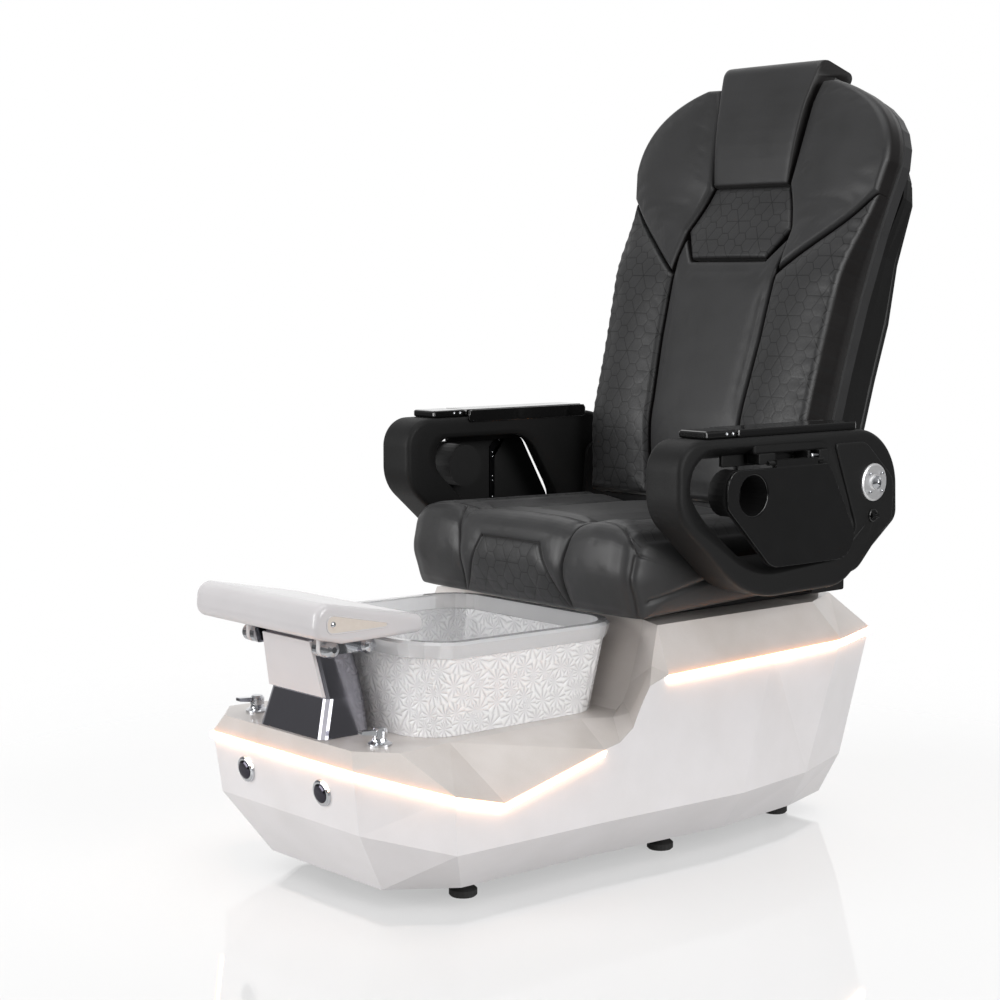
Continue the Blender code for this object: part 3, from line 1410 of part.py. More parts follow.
def add_arm(side, sign, carriage, plastic, gloss, silver):
    """One arm: a moulded loop on its pivot, the cap and hinged lid on top, and a hanging tray."""
    y, z = ARM_PIVOT
    arm = Carrier(f"arm_axis_{side}", (sign * ARM_INNER_X, y, z), carriage)
    ends = sorted((sign * ARM_INNER_X, sign * ARM_OUTER_X))
    body = add(f"arm_body_{side}", plate(arm_outline(), *ends, "x"), plastic, arm)
    round_edges(body, 0.012)
    funnel = []
    for depth, share in ((-0.02, -0.08), (0.04, 0.0), (0.4, 0.1), (0.7, 0.4), (0.9, 0.8), (1.1, 1.3)):
        x = sign * (ARM_INNER_X + depth * ARM_WIDTH)
        funnel.append([Vector((x, a, b)) for a, b in arm_opening(share)])
    combine(body, loft(funnel), "DIFFERENCE", arm)
    panel = rounded(
        [
            (y - 0.105, ARM_TOP - 0.021, 0.006),
            (y - 0.020, ARM_TOP - 0.021, 0.040),
            (y + 0.061, z + 0.003, 0.040),
            (y + 0.057, z - 0.070, 0.012),
            (y - 0.035, z - 0.158, 0.050),
            (y - 0.118, z - 0.165, 0.005),
            (y - 0.040, z - 0.087, 0.035),
        ],
        3,
    )
    panel_top = ARM_OUTER_X + 0.004
    face = sorted((sign * (ARM_OUTER_X - 0.003), sign * panel_top))
    combine(body, plate(panel, *face, "x"), "UNION", arm)
    cap_low = 0.060
    stud = [(0.0115, sign * (ARM_OUTER_X - 0.003)), (0.0115, sign * (panel_top + 0.004))]
    stud.append((0.006, sign * (panel_top + 0.006)))
    combine(body, turned(stud, (0, y, z - cap_low), "x", count=20), "UNION", arm)
    lug_span = ((y - 0.284, y - 0.270), (y - 0.160, y - 0.146))
    pin = TRAY_PIN_RADIUS
    for low, high in lug_span:
        lug = rounded(
            [
                (sign * (ARM_OUTER_X - 0.014), TRAY_HINGE_Z + 0.016, 0.001),
                (sign * (ARM_OUTER_X - 0.014), TRAY_HINGE_Z + 0.004, 0.001),
                (sign * (TRAY_HINGE_X - 0.006), TRAY_HINGE_Z - 0.0065, 0.003),
                (sign * (TRAY_HINGE_X + 0.006), TRAY_HINGE_Z - 0.0065, 0.005),
                (sign * (TRAY_HINGE_X + 0.006), TRAY_HINGE_Z + 0.016, 0.005),
            ],
            3,
        )
        hole = circle((sign * TRAY_HINGE_X, TRAY_HINGE_Z), pin + GAP, 16)
        combine(body, plate(lug, low, high, "y", hole), "UNION", arm)
    bore = AXLE_RADIUS + GAP
    bore = [(bore, sign * (ARM_INNER_X - 0.01)), (bore, sign * (ARM_INNER_X + AXLE_LENGTH + 0.001))]
    combine(body, turned(bore, (0, y, z), "x"), "DIFFERENCE", arm)

    disc = [
        (0.034, panel_top + GAP),
        (0.034, panel_top + 0.003),
        (0.031, panel_top + 0.005),
        (0.014, panel_top + 0.005),
        (0.011, panel_top + 0.008),
        (0.004, panel_top + 0.0095),
    ]
    disc = [(radius, sign * along) for radius, along in disc]
    add(f"pivot_disc_{side}", turned(disc, (0, y, z), "x", count=32), silver, arm)

    margin = 0.009
    x = sorted((sign * (ARM_INNER_X + margin), sign * (ARM_OUTER_X - margin)))
    heights = (ARM_TOP + GAP, ARM_TOP + CAP_THICKNESS)
    cap = add(f"arm_cap_{side}", box(x, (CAP_FRONT_Y, LID_SPLIT_Y - 0.0005), heights), gloss, arm)
    round_edges(cap, 0.004)
    hinge = (sign * (ARM_INNER_X + ARM_WIDTH / 2), LID_SPLIT_Y, ARM_TOP + CAP_THICKNESS)
    lid_axis = Carrier(f"lid_axis_{side}", hinge, arm)
    lid = add(f"arm_lid_{side}", box(x, (LID_SPLIT_Y + 0.0005, CAP_REAR_Y), heights), gloss, lid_axis)
    round_edges(lid, 0.004)

    tray_axis = Carrier(f"tray_axis_{side}", (sign * TRAY_HINGE_X, CUP_CENTRE[0], TRAY_HINGE_Z), arm)
    ends = sorted((sign * TRAY_INNER_X, sign * (TRAY_INNER_X + TRAY_THICKNESS)))
    tray = add(f"tray_{side}", plate(tray_outline(), *ends, "x"), gloss, tray_axis)
    round_edges(tray, 0.003, 2)
    wall = CUP_WALL
    floor = TRAY_INNER_X + TRAY_THICKNESS - CUP_DEPTH
    cup = [(CUP_RADIUS + wall, sign * (TRAY_INNER_X + wall)), (CUP_RADIUS + wall, sign * (floor - wall))]
    combine(tray, turned(cup, (0, *CUP_CENTRE), "x"), "UNION", tray_axis)
    well = [(CUP_RADIUS, sign * (TRAY_INNER_X + TRAY_THICKNESS + 0.01)), (CUP_RADIUS, sign * floor)]
    combine(tray, turned(well, (0, *CUP_CENTRE), "x"), "DIFFERENCE", tray_axis)
    tab_y = (lug_span[0][1] + 0.001, lug_span[1][0] - 0.001)
    tab_x = sorted((sign * (TRAY_HINGE_X - 0.005), sign * (TRAY_HINGE_X + 0.005)))
    combine(tray, box(tab_x, tab_y, (TRAY_HINGE_Z - 0.014, TRAY_HINGE_Z + 0.005)), "UNION", tray_axis)
    rod = [(pin, lug_span[0][0] - 0.002), (pin, lug_span[1][1] + 0.002)]
    rod = turned(rod, (sign * TRAY_HINGE_X, 0, TRAY_HINGE_Z), "y", count=16)
    combine(tray, rod, "UNION", tray_axis)


def main():
    clear_scene()
    gelcoat = finish("pearl_gelcoat", (0.80, 0.79, 0.77), 0.25)
    lens = finish("light_lens", (1.0, 0.93, 0.80), 0.30)
    steel = finish("dark_steel", (0.10, 0.10, 0.11), 0.40, 0.9)
    rubber = finish("black_rubber", (0.02, 0.02, 0.02), 0.80)
    enamel = finish("white_textured_bowl", (0.85, 0.85, 0.85), 0.30)
    acrylic = finish("clear_acrylic", (0.90, 0.93, 0.93), 0.05, 0.0, 0.4)
    chrome = finish("chrome", (0.80, 0.80, 0.82), 0.08, 1.0)
    mirror = finish("mirror_steel", (0.62, 0.63, 0.65), 0.05, 1.0)
    white = finish("white_gloss_plastic", (0.88, 0.88, 0.88), 0.25)
    dark = finish("dark_plastic", (0.04, 0.04, 0.04), 0.50)
    satin = finish("satin_silver", (0.62, 0.62, 0.62), 0.30, 1.0)
    leather = finish("black_leather", (0.020, 0.020, 0.022), 0.45)
    quilted = finish("black_quilted_leather", (0.022, 0.022, 0.024), 0.45)
    textured = finish("black_textured_plastic", (0.030, 0.030, 0.032), 0.60)
    gloss = finish("gloss_black_plastic", (0.012, 0.012, 0.012), 0.08)

    root = Carrier("chair_origin", (0.0, 0.0, 0.0))
    add_base_skirt(root, gelcoat)
    add_base_deck(root, gelcoat)
    add_lights(root, lens)
    add_base_inside(root, steel)
    add_feet(root, rubber)
    add_bowl(root, enamel, acrylic, chrome, dark)
    add_jet(root, white, dark)
    add_column(root, mirror, white)
    add_footrest(root, chrome, white)
    add_buttons(root, chrome, satin)
    add_taps(root, chrome)
    add_rails(root, steel)

    carriage = Carrier("seat_slide", (0.0, 0.0, 0.0), root)
    add_seat_frame(carriage, dark, steel)
    add_recline_drive(carriage, dark, steel)
    add_arm_brackets(carriage, dark)
    add_seat_cushion(carriage, quilted)

    back = Carrier("recline_axis", (0.0, RECLINE_Y, RECLINE_Z), carriage, -BACK_LEAN)
    add_back_body(back, leather, textured, dark)
    add_back_pads(back, leather, quilted)
    for side, sign in SIDES.items():
        add_arm(side, sign, carriage, textured, gloss, satin)


main()
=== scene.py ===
# %% [markdown]
# A pedicure chair in Blender
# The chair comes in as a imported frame: rigid parts in their true places and bodies that move on joints.
# This lesson dresses that frame. The rigid mouldings keep their shape and get real finishes, and the
# upholstery is made again as sewn leather panels, worked out as surfaces on a grid.

# %% Load the frame
from math import cos, pi, radians, sin, sqrt, tau

import bmesh
import bpy
import numpy as np
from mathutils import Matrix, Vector


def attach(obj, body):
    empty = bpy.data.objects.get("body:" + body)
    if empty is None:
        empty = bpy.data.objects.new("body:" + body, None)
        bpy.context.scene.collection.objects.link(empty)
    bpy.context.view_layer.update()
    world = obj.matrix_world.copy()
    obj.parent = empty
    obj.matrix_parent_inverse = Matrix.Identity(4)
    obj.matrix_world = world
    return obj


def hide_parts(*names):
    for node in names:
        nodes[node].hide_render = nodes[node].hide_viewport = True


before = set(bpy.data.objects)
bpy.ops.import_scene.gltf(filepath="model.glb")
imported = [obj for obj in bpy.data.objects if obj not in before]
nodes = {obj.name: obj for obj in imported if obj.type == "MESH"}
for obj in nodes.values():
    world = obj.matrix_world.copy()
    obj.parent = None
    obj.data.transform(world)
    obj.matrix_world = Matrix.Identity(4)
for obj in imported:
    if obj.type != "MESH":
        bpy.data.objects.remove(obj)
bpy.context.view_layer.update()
SIDES = {"left": 1.0, "right": -1.0}

# %% [markdown]
# The camera
# A product photograph of this kind is taken from about four metres with a long lens, at the height of the
# sitter's chest. A camera placed by hand drifts, so its place, heading and pitch are given as numbers, and
# the lens is the one that makes the chair fill a square picture.

# %% Camera
CAMERA_PLACE, LENS, SENSOR = (2.7945, -2.5540, 1.026), 74.84, 36.0
HEADING, PITCH = radians(49.26), radians(6.07)


def add_object(name, data):
    """Object in the scene that shows some data, at the origin."""
    made = bpy.data.objects.new(name, data)
    bpy.context.scene.collection.objects.link(made)
    return made


def aim(item, place, gaze):
    """Put a camera or a lamp in its place and turn it to look along a direction."""
    item.location = place
    item.rotation_mode = "QUATERNION"
    item.rotation_quaternion = Vector(gaze).to_track_quat("-Z", "Y")


camera = add_object("camera", bpy.data.cameras.new("camera"))
camera.data.lens, camera.data.sensor_width = LENS, SENSOR
aim(camera, CAMERA_PLACE, (-sin(HEADING) * cos(PITCH), cos(HEADING) * cos(PITCH), -sin(PITCH)))
bpy.context.scene.camera = camera
print("camera at", CAMERA_PLACE, "lens", LENS)

# %% [markdown]
# Colours and nodes
# A colour given as a hex code is an sRGB value, and a shader wants linear light, so one function converts it.
# One more function adds a node with its settings and links and hands back its output. A third starts a
# material from the Principled shader, with the values that are the same all over set on its own sockets.

# %% Helpers for materials
MM = 0.001


def linear(code):
    """Linear RGBA of an sRGB hex colour: c / 12.92 below the knee and ((c + 0.055) / 1.055) ** 2.4 above it."""
    parts = np.array([int(code[i : i + 2], 16) / 255 for i in (1, 3, 5)])
    light = np.where(parts <= 0.04045, parts / 12.92, ((parts + 0.055) / 1.055) ** 2.4)
    return (*light.tolist(), 1.0)


def connect(made, inputs):
    """Give a node its inputs: each is a value, or a socket to link from."""
    for name, value in inputs.items():
        if isinstance(value, bpy.types.NodeSocket):
            made.id_data.links.new(value, made.inputs[name])
        else:
            made.inputs[name].default_value = value


def node(tree, kind, inputs=(), output=0, **settings):
    """Output of a new shader node with its settings, and with inputs by name, by number or in order."""
    made = tree.nodes.new("ShaderNode" + kind)
    for name, value in settings.items():
        setattr(made, name, value)
    connect(made, inputs if isinstance(inputs, dict) else dict(enumerate(inputs)))
    return made.outputs[output]


def start_material(name, **sockets):
    """Material with a Principled shader, its uniform values set on the shader's own sockets."""
    material = bpy.data.materials.new(name)
    material.use_nodes = True
    shader = material.node_tree.nodes["Principled BSDF"]
    connect(shader, {socket.replace("_", " "): value for socket, value in sockets.items()})
    return material, material.node_tree, shader


def paint(material, *names):
    """Put a material on nodes of the frame."""
    for name in names:
        nodes[name].material_slots[0].material = material


print("white is", linear("#ffffff")[:3])

# %% [markdown]
# Studio
# The photograph has a white ground that runs out of sight and mirrors the base like polished acrylic. A white
# floor gives that: near the chair it is glossy and a little lit from below, as a light table is, and two
# metres out it fades to nothing, so no horizon shows. Three big soft lights and a weak fill model the leather
# folds. The sky is white where the camera sees it and greyer where it lights things, so that chrome has
# something to show.

# %% Floor
WHITE = (1.0, 1.0, 1.0, 1.0)
REACH, FADE_FROM, FADE_TO = 2.4, 0.95, 2.1
GLOW, SEEN_GLOW = 0.26, 0.46
floor_mesh = bpy.data.meshes.new("floor")
corners = [(x * REACH, y * REACH, 0) for x, y in ((-1, -1), (1, -1), (1, 1), (-1, 1))]
floor_mesh.from_pydata(corners, [], [(0, 1, 2, 3)])
floor = add_object("floor", floor_mesh)
# Acrylic sheet, polished and lit from below: it mirrors the base and stays white round it.
table, tree, shader = start_material(
    "white_acrylic_table", Base_Color=linear("#a8a8a8"), Roughness=0.035, IOR=1.38, Emission_Color=WHITE
)
seen = node(tree, "LightPath", output="Is Camera Ray")
connect(shader, {"Emission Strength": node(tree, "MapRange", {0: seen, 3: GLOW, 4: SEEN_GLOW})})
place = node(tree, "TexCoord", output="Object")
away = node(tree, "VectorMath", [place], "Value", operation="LENGTH")
fade = node(tree, "MapRange", [away, FADE_FROM, FADE_TO], interpolation_type="SMOOTHSTEP")
blend = node(tree, "MixShader", [fade, shader.outputs[0], node(tree, "BsdfTransparent")])
connect(tree.nodes["Material Output"], {"Surface": blend})
floor_mesh.materials.append(table)
print("floor", 2 * REACH, "m wide")

# %% Sky
SKY_LOW, SKY_HIGH = (0.07, 0.07, 0.072, 1), (0.42, 0.42, 0.425, 1)
world = bpy.data.worlds.new("studio_sky")
bpy.context.scene.world = world
world.use_nodes = True
sky = world.node_tree
place = node(sky, "TexCoord", output="Generated")
up = node(sky, "SeparateXYZ", [place], "Z")
shade = node(sky, "ValToRGB", [node(sky, "MapRange", [up, -0.2, 0.9])])
for stop, grey in zip(shade.node.color_ramp.elements, (SKY_LOW, SKY_HIGH)):
    stop.color = grey
behind = node(sky, "VectorMath", [place, (-sin(HEADING), cos(HEADING), 0.0)], "Value", operation="DOT_PRODUCT")
behind = node(sky, "MapRange", [behind, 0.45, 0.8], interpolation_type="SMOOTHSTEP")
seen = node(sky, "LightPath", output="Is Camera Ray")
white = node(sky, "Math", [seen, behind], operation="MAXIMUM")
connect(sky.nodes["Background"], {"Color": node(sky, "Mix", {0: white, 6: shade, 7: WHITE}, 2, data_type="RGBA")})
print("sky:", world.name)

# %% Lights
# Name, place, target, width in metres and power in watts.
SOFTBOXES = (
    ("key_softbox", (-1.5, -4.1, 1.35), (0.0, 0.0, 0.45), 2.4, 108.0),
    ("side_softbox", (4.2, 0.2, 1.6), (0.0, 0.0, 0.35), 2.4, 102.0),
    ("front_fill", (1.6, -3.6, 1.0), (0.0, 0.0, 0.45), 1.6, 10.0),
    ("top_softbox", (0.2, 0.0, 4.4), (0.0, 0.0, 0.5), 3.0, 44.0),
)
for name, place, target, size, power in SOFTBOXES:
    lamp = bpy.data.lights.new(name, "AREA")
    lamp.size, lamp.energy = size, power
    aim(add_object(name, lamp), place, Vector(target) - Vector(place))
bpy.context.scene.view_settings.view_transform = "Standard"
print(len(SOFTBOXES), "soft lights")

# %% [markdown]
# Gelcoat hull
# The base is a pair of glass-fibre mouldings sprayed with pearl gelcoat: a white shell, with a deck on top
# that is a little warmer, and painted a little darker too: painted shade, for the duller light on the deck
# under the seat. Pearl paint is a clear glossy coat over fine flakes, so the material has a coat, a faint
# cloud of tone some 90 mm across and a sparkle of flakes, drawn at 1.5 mm to show at this distance.

# %% Gelcoat
CLOUD, FLAKE = 90 * MM, 1.5 * MM


def gelcoat(name, pale, deep):
    """Sprayed pearl gelcoat between two tones."""
    material, tree, shader = start_material(name, Roughness=0.38, Coat_Weight=0.4, Coat_Roughness=0.08)
    place = node(tree, "TexCoord", output="Object")
    cloud = node(tree, "TexNoise", {"Vector": place, "Scale": 1 / CLOUD, "Detail": 3.0})
    flake = node(tree, "TexNoise", {"Vector": place, "Scale": 1 / FLAKE, "Detail": 1.0})
    both = node(tree, "Math", [flake, 0.35, cloud], operation="MULTIPLY_ADD")
    share = node(tree, "MapRange", [both, 0.45, 0.95])
    tone = node(tree, "Mix", {0: share, 6: linear(pale), 7: linear(deep)}, 2, data_type="RGBA")
    bump = node(tree, "Bump", {"Height": cloud, "Strength": 0.05, "Distance": 1 * MM})
    connect(shader, {"Base Color": tone, "Coat Normal": bump})
    return material


paint(gelcoat("white_pearl_gelcoat", "#e9e6e7", "#e2dfdf"), "base_skirt")
# Painted shade: the deck's copy of the gelcoat is darker than the skirt's; its warmth is the gelcoat's own.
paint(gelcoat("warm_pearl_gelcoat", "#dbd5d1", "#cfc8c2"), "base_deck")
print("gelcoat on the skirt and the deck")

# %% [markdown]
# Light lines
# Two strips of warm white diodes run in the joint between the mouldings, behind an extruded milky lens.
# The lens burns out to white along its middle and turns orange where it meets the moulding, so the emission
# follows how much a point of the lens faces sideways: flat out of the hull it is white, at the edges amber.

# %% Light lens
lens, tree, shader = start_material(
    "milky_light_lens", Base_Color=linear("#fff3e2"), Roughness=0.4, Emission_Strength=7.0
)
normal = node(tree, "NewGeometry", output="Normal")
tilt = node(tree, "Math", [node(tree, "SeparateXYZ", [normal], "Z")], operation="ABSOLUTE")
edge = node(tree, "MapRange", [tilt, 0.3, 0.9])
glow = node(tree, "Mix", {0: edge, 6: linear("#fff4e4"), 7: linear("#ff9a3c")}, 2, data_type="RGBA")
connect(shader, {"Emission Color": glow})
paint(lens, "led_strip_front", "led_strip_rear")
print("light lens on 2 strips")

# %% [markdown]
# Embossed bowl
# The foot bowl is white enamel cast against a pressed sheet of ice flowers: petals that fan out from many
# centres, about 28 mm apart. Round a centre the height follows a sine of the angle, with ten petals, so
# the shader finds the nearest centre with a Voronoi texture and takes the angle to it. Walls and floor are
# patterned by themselves: a wall by its run and its height, the floor by its two flat directions.

# %% Bowl enamel
FLOWER, PETALS = 28 * MM, 10
enamel, tree, shader = start_material(
    "embossed_white_enamel", Roughness=0.22, Coat_Weight=0.4, Coat_Roughness=0.08
)
x, y, z = node(tree, "SeparateXYZ", [node(tree, "TexCoord", output="Object")]).node.outputs
wall = node(tree, "CombineXYZ", [node(tree, "Math", [x, y], operation="ADD"), z])
flat = node(tree, "CombineXYZ", [x, y])
facing = node(tree, "SeparateXYZ", [node(tree, "NewGeometry", output="Normal")], "Z")
facing = node(tree, "Math", [facing], operation="ABSOLUTE")
level = node(tree, "Math", [facing, 0.6], operation="GREATER_THAN")
spread = node(tree, "Mix", {0: level, 4: wall, 5: flat}, 1, data_type="VECTOR")
centres = {"Vector": spread, "Scale": 1 / FLOWER, "Randomness": 0.9}
flower = node(tree, "TexVoronoi", centres, voronoi_dimensions="2D").node.outputs
away = node(tree, "VectorMath", [spread, flower["Position"]], operation="SUBTRACT")
away_x, away_y = node(tree, "SeparateXYZ", [away]).node.outputs[:2]
angle = node(tree, "Math", [away_y, away_x], operation="ARCTAN2")
angle = node(tree, "Math", [angle, PETALS / 2], operation="MULTIPLY")
turn = node(tree, "SeparateColor", [flower["Color"]])
phase = node(tree, "Math", [turn, tau, angle], operation="MULTIPLY_ADD")
petal = node(tree, "Math", [phase], operation="SINE")
petal = node(tree, "Math", [petal], operation="ABSOLUTE")
ridge = node(tree, "Math", [petal, 0.6], operation="POWER")
far = node(tree, "MapRange", [flower["Distance"], 0.02, 0.55])
height = node(tree, "Math", [ridge, far], operation="MULTIPLY")
bump = node(tree, "Bump", {"Height": height, "Strength": 0.75, "Distance": 3.4 * MM})
# Painted shade and highlight: the colour is a little grey in the hollows of the petals and pure white on their
# ridges.
tone = node(tree, "Mix", {0: height, 6: linear("#f6f5f7"), 7: linear("#ffffff")}, 2, data_type="RGBA")
connect(shader, {"Base Color": tone, "Normal": bump})
paint(enamel, "bowl")
print("ice flowers every", FLOWER / MM, "mm on the bowl")

# %% [markdown]
# Clear rim
# The rim of the bowl is a band of cast acrylic with a flame-polished edge. Cast acrylic has an index of
# 1.49 and a faint grey body. A soft ripple of the polish, some 25 mm long, bends what shows through it.

# %% Acrylic
RIPPLE = 25 * MM
acrylic, tree, shader = start_material(
    "clear_cast_acrylic", Base_Color=linear("#f7f7f8"), Roughness=0.06, IOR=1.49,
    Transmission_Weight=0.5, Coat_Weight=0.4,
)
place = node(tree, "TexCoord", output="Object")
ripple = node(tree, "TexNoise", {"Vector": place, "Scale": 1 / RIPPLE, "Detail": 2.0})
connect(shader, {"Normal": node(tree, "Bump", {"Height": ripple, "Strength": 0.25, "Distance": 2 * MM})})
paint(acrylic, "bowl_rim")
print("acrylic rim")

# %% [markdown]
# Metals and hard plastics
# The rest of the hardware is made in a few ways: plated and polished, rolled and mirror polished, turned and
# blasted, moulded glossy or moulded with a fine texture. They differ in colour, in gloss and in the
# size of their marks, so one function takes those as numbers. Metals keep the default index.

# %% Hardware finishes
MATT_SPECULAR = 0.34


def hard_finish(name, pale, deep, gloss, mark, depth, metal=0.0, coat=0.0):
    """Finish between two tones and two roughnesses, with marks of a size in mm and a depth in mm."""
    material, tree, shader = start_material(name, Metallic=metal, Coat_Weight=coat, Coat_Roughness=0.05)
    place = node(tree, "TexCoord", output="Object")
    grain = node(tree, "TexNoise", {"Vector": place, "Scale": 1 / (mark * MM), "Detail": 4.0})
    tone = node(tree, "Mix", {0: grain, 6: linear(pale), 7: linear(deep)}, 2, data_type="RGBA")
    rough = node(tree, "MapRange", [grain, 0.3, 0.7, *gloss])
    bump = node(tree, "Bump", {"Height": grain, "Strength": 0.5, "Distance": depth * MM})
    connect(shader, {"Base Color": tone, "Roughness": rough, "Normal": bump})
    return material


finishes = {
    # Bright nickel and chrome plate: near-mirror, with faint wipe marks.
    "chrome": hard_finish("polished_chrome", "#d8dadd", "#c4c6ca", (0.05, 0.12), 40, 0.02, metal=1.0),
    # Rolled stainless sheet, mirror polished: dark where it reflects the dark of the room.
    "mirror_steel": hard_finish("mirror_stainless", "#a9a8ae", "#8b8a92", (0.04, 0.14), 60, 0.12, metal=1.0),
    # Turned aluminium, bead blasted to a fine satin.
    "satin_silver": hard_finish("satin_aluminium", "#ffffff", "#ececed", (0.4, 0.55), 2, 0.03, metal=1.0),
    # Black oxide steel under the seat.
    "dark_steel": hard_finish("black_oxide_steel", "#2c2c2e", "#1b1b1d", (0.35, 0.55), 12, 0.05, metal=1.0),
    # Moulded feet: matt rubber, a little dusty.
    "black_rubber": hard_finish("moulded_rubber", "#1d1d1d", "#2a2928", (0.7, 0.9), 6, 0.15),
    # Polyurethane pad and plates, painted pearl white and lacquered.
    "white_gloss_plastic": hard_finish("white_lacquer", "#dcd9da", "#d4d1d2", (0.2, 0.25), 60, 0.008, coat=0.3),
    # Moulded covers with a soft matt finish.
    "dark_plastic": hard_finish("matt_black_abs", "#1a1a1a", "#131313", (0.42, 0.55), 1.6, 0.1),
    # Arm mouldings: black plastic with a fine spark texture, drawn at 1.4 mm to show.
    "black_textured_plastic": hard_finish("textured_black_abs", "#101010", "#0b0b0b", (0.5, 0.66), 1.4, 0.35),
    # Lids and trays: piano black, with the slight waviness of a moulded gloss skin.
    "gloss_black_plastic": hard_finish("gloss_black_abs", "#121212", "#0c0c0c", (0.08, 0.16), 45, 0.08, coat=0.5),
}
for name, part in nodes.items():
    slot = part.material_slots[0].material.name.split(".")[0]
    if slot in finishes:
        paint(finishes[slot], name)
# Push buttons: smoked, polished caps inside their chromed rings.
smoked = hard_finish("smoked_polished_cap", "#55535c", "#34323a", (0.04, 0.1), 12, 0.05, metal=1.0)
paint(smoked, *[f"button_cap_{side}" for side in SIDES])
# Matt plastics scatter more than they mirror, so their specular level is lower.
for slot in ("black_textured_plastic", "dark_plastic"):
    connect(finishes[slot].node_tree.nodes["Principled BSDF"], {"Specular IOR Level": MATT_SPECULAR})
print("hardware finishes:", ", ".join(sorted(finishes)))

# %% [markdown]
# Leather
# The upholstery is black synthetic leather: a rolled grain of small pebbles, drawn at 2.2 mm, over a soft
# backing that shows broad, shallow waves. At a seam the skin turns in, and the colour there is painted
# dark with a trace of brown: the brown is the thread, the dark is painted shade in the turn. Quilted panels
# have embossed lines, painted dark as shade in their grooves: a grid of hexagons 26 mm across, in
# which every third cell is a star whose six spokes run on along the lines between its neighbours.

# %% Quilting pattern
QUILT, STAR_MARGIN = 26 * MM, 0.8 * MM
SLOPE = sqrt(3) / 2


def quilt_gap(tree):
    """Distance from the nearest quilting line.

    Each point is wrapped into its cell of a grid of hexagons, once at the pitch and once at three times
    the pitch, where the stars are. The rim is at max(|y|, a |x| + |y| / 2) with a = sqrt(3) / 2, and the
    spokes are where min(|y|, |a |x| - |y| / 2|) is 0. Adding 1 takes a line away.
    """
    spread = node(tree, "Attribute", output="Vector", attribute_name="flat")
    rims = []
    for step in (QUILT, 3 * QUILT):
        half = (step * SLOPE, step / 2, 1.0)
        low = tuple(-value for value in half)
        cells = []
        for shift in ((0.0, 0.0, 0.0), (half[0], half[1], 0.0)):
            moved = node(tree, "VectorMath", [spread, shift], operation="ADD")
            cells.append(node(tree, "VectorMath", [moved, half, low], operation="WRAP"))
        lengths = [node(tree, "VectorMath", [cell], "Value", operation="LENGTH") for cell in cells]
        nearer = node(tree, "Math", lengths, operation="LESS_THAN")
        local = node(tree, "Mix", {0: nearer, 4: cells[1], 5: cells[0]}, 1, data_type="VECTOR")
        plain = node(tree, "VectorMath", [local], operation="ABSOLUTE")
        rise = node(tree, "SeparateXYZ", [plain], "Y")
        slant, cross = (
            node(tree, "VectorMath", [plain, (SLOPE, lean, 0)], "Value", operation="DOT_PRODUCT")
            for lean in (0.5, -0.5)
        )
        rims.append(node(tree, "Math", [slant, rise], operation="MAXIMUM"))
    cross = node(tree, "Math", [cross], operation="ABSOLUTE")
    spokes = node(tree, "Math", [cross, rise], operation="MINIMUM")
    reach = node(tree, "Math", lengths, operation="MINIMUM")
    hexagon = node(tree, "Math", [QUILT / 2, rims[0]], operation="SUBTRACT")
    in_star = node(tree, "Math", [rims[1], QUILT / 2 + STAR_MARGIN], operation="LESS_THAN")
    hexagon = node(tree, "Math", [in_star, hexagon], operation="ADD")
    too_far = node(tree, "Math", [reach, 2 * QUILT / sqrt(3)], operation="GREATER_THAN")
    spokes = node(tree, "Math", [too_far, spokes], operation="ADD")
    return node(tree, "Math", [hexagon, spokes], operation="MINIMUM")


print("quilting every", QUILT / MM, "mm")

# %% Leather materials
PEBBLE, WAVE = 2.2 * MM, 70 * MM


def leather(name, quilted):
    """Grained synthetic leather; with quilted, embossed lines where the piece's attribute quilt says so."""
    material, tree, shader = start_material(name, Specular_IOR_Level=0.45, Sheen_Weight=0.06)
    place = node(tree, "TexCoord", output="Object")
    seam = node(tree, "Attribute", output="Fac", attribute_name="seam")
    pebble = node(tree, "TexVoronoi", {"Vector": place, "Scale": 1 / PEBBLE}, "Distance")
    wave = node(tree, "TexNoise", {"Vector": place, "Scale": 1 / WAVE, "Detail": 3.0})
    tone = node(tree, "Mix", {0: wave, 6: linear("#2b2b2b"), 7: linear("#333334")}, 2, data_type="RGBA")
    # Painted shade and thread: near a seam, and on the walls of the pads, the colour goes to a near-black brown; the
    # brown is the thread, the dark stands in for shade.
    tone = node(tree, "Mix", {0: seam, 6: tone, 7: linear("#0a0605")}, 2, data_type="RGBA")
    rough = node(tree, "MapRange", [wave, 0.3, 0.7, 0.38, 0.5])
    soft = node(tree, "Bump", {"Height": wave, "Strength": 0.35, "Distance": 3 * MM})
    grain = node(tree, "Bump", {"Height": pebble, "Strength": 0.18, "Distance": 0.4 * MM, "Normal": soft})
    if quilted:
        wanted = node(tree, "Attribute", output="Fac", attribute_name="quilt")
        gap = quilt_gap(tree)
        line = node(tree, "MapRange", [gap, 0.35 * MM, 1.2 * MM, 1.0, 0.0], interpolation_type="SMOOTHSTEP")
        line = node(tree, "Math", [line, wanted], operation="MULTIPLY")
        # Painted shade: the embossed lines are coloured near black, as shade in their grooves.
        tone = node(tree, "Mix", {0: line, 6: tone, 7: linear("#0a0a0a")}, 2, data_type="RGBA")
        puff = node(tree, "MapRange", [gap, 0.0, 5 * MM], interpolation_type="SMOOTHERSTEP")
        puff = node(tree, "Math", [puff, wanted], operation="MULTIPLY")
        grain = node(tree, "Bump", {"Height": puff, "Strength": 0.2, "Distance": 0.6 * MM, "Normal": grain})
    connect(shader, {"Base Color": tone, "Roughness": rough, "Normal": grain})
    return material


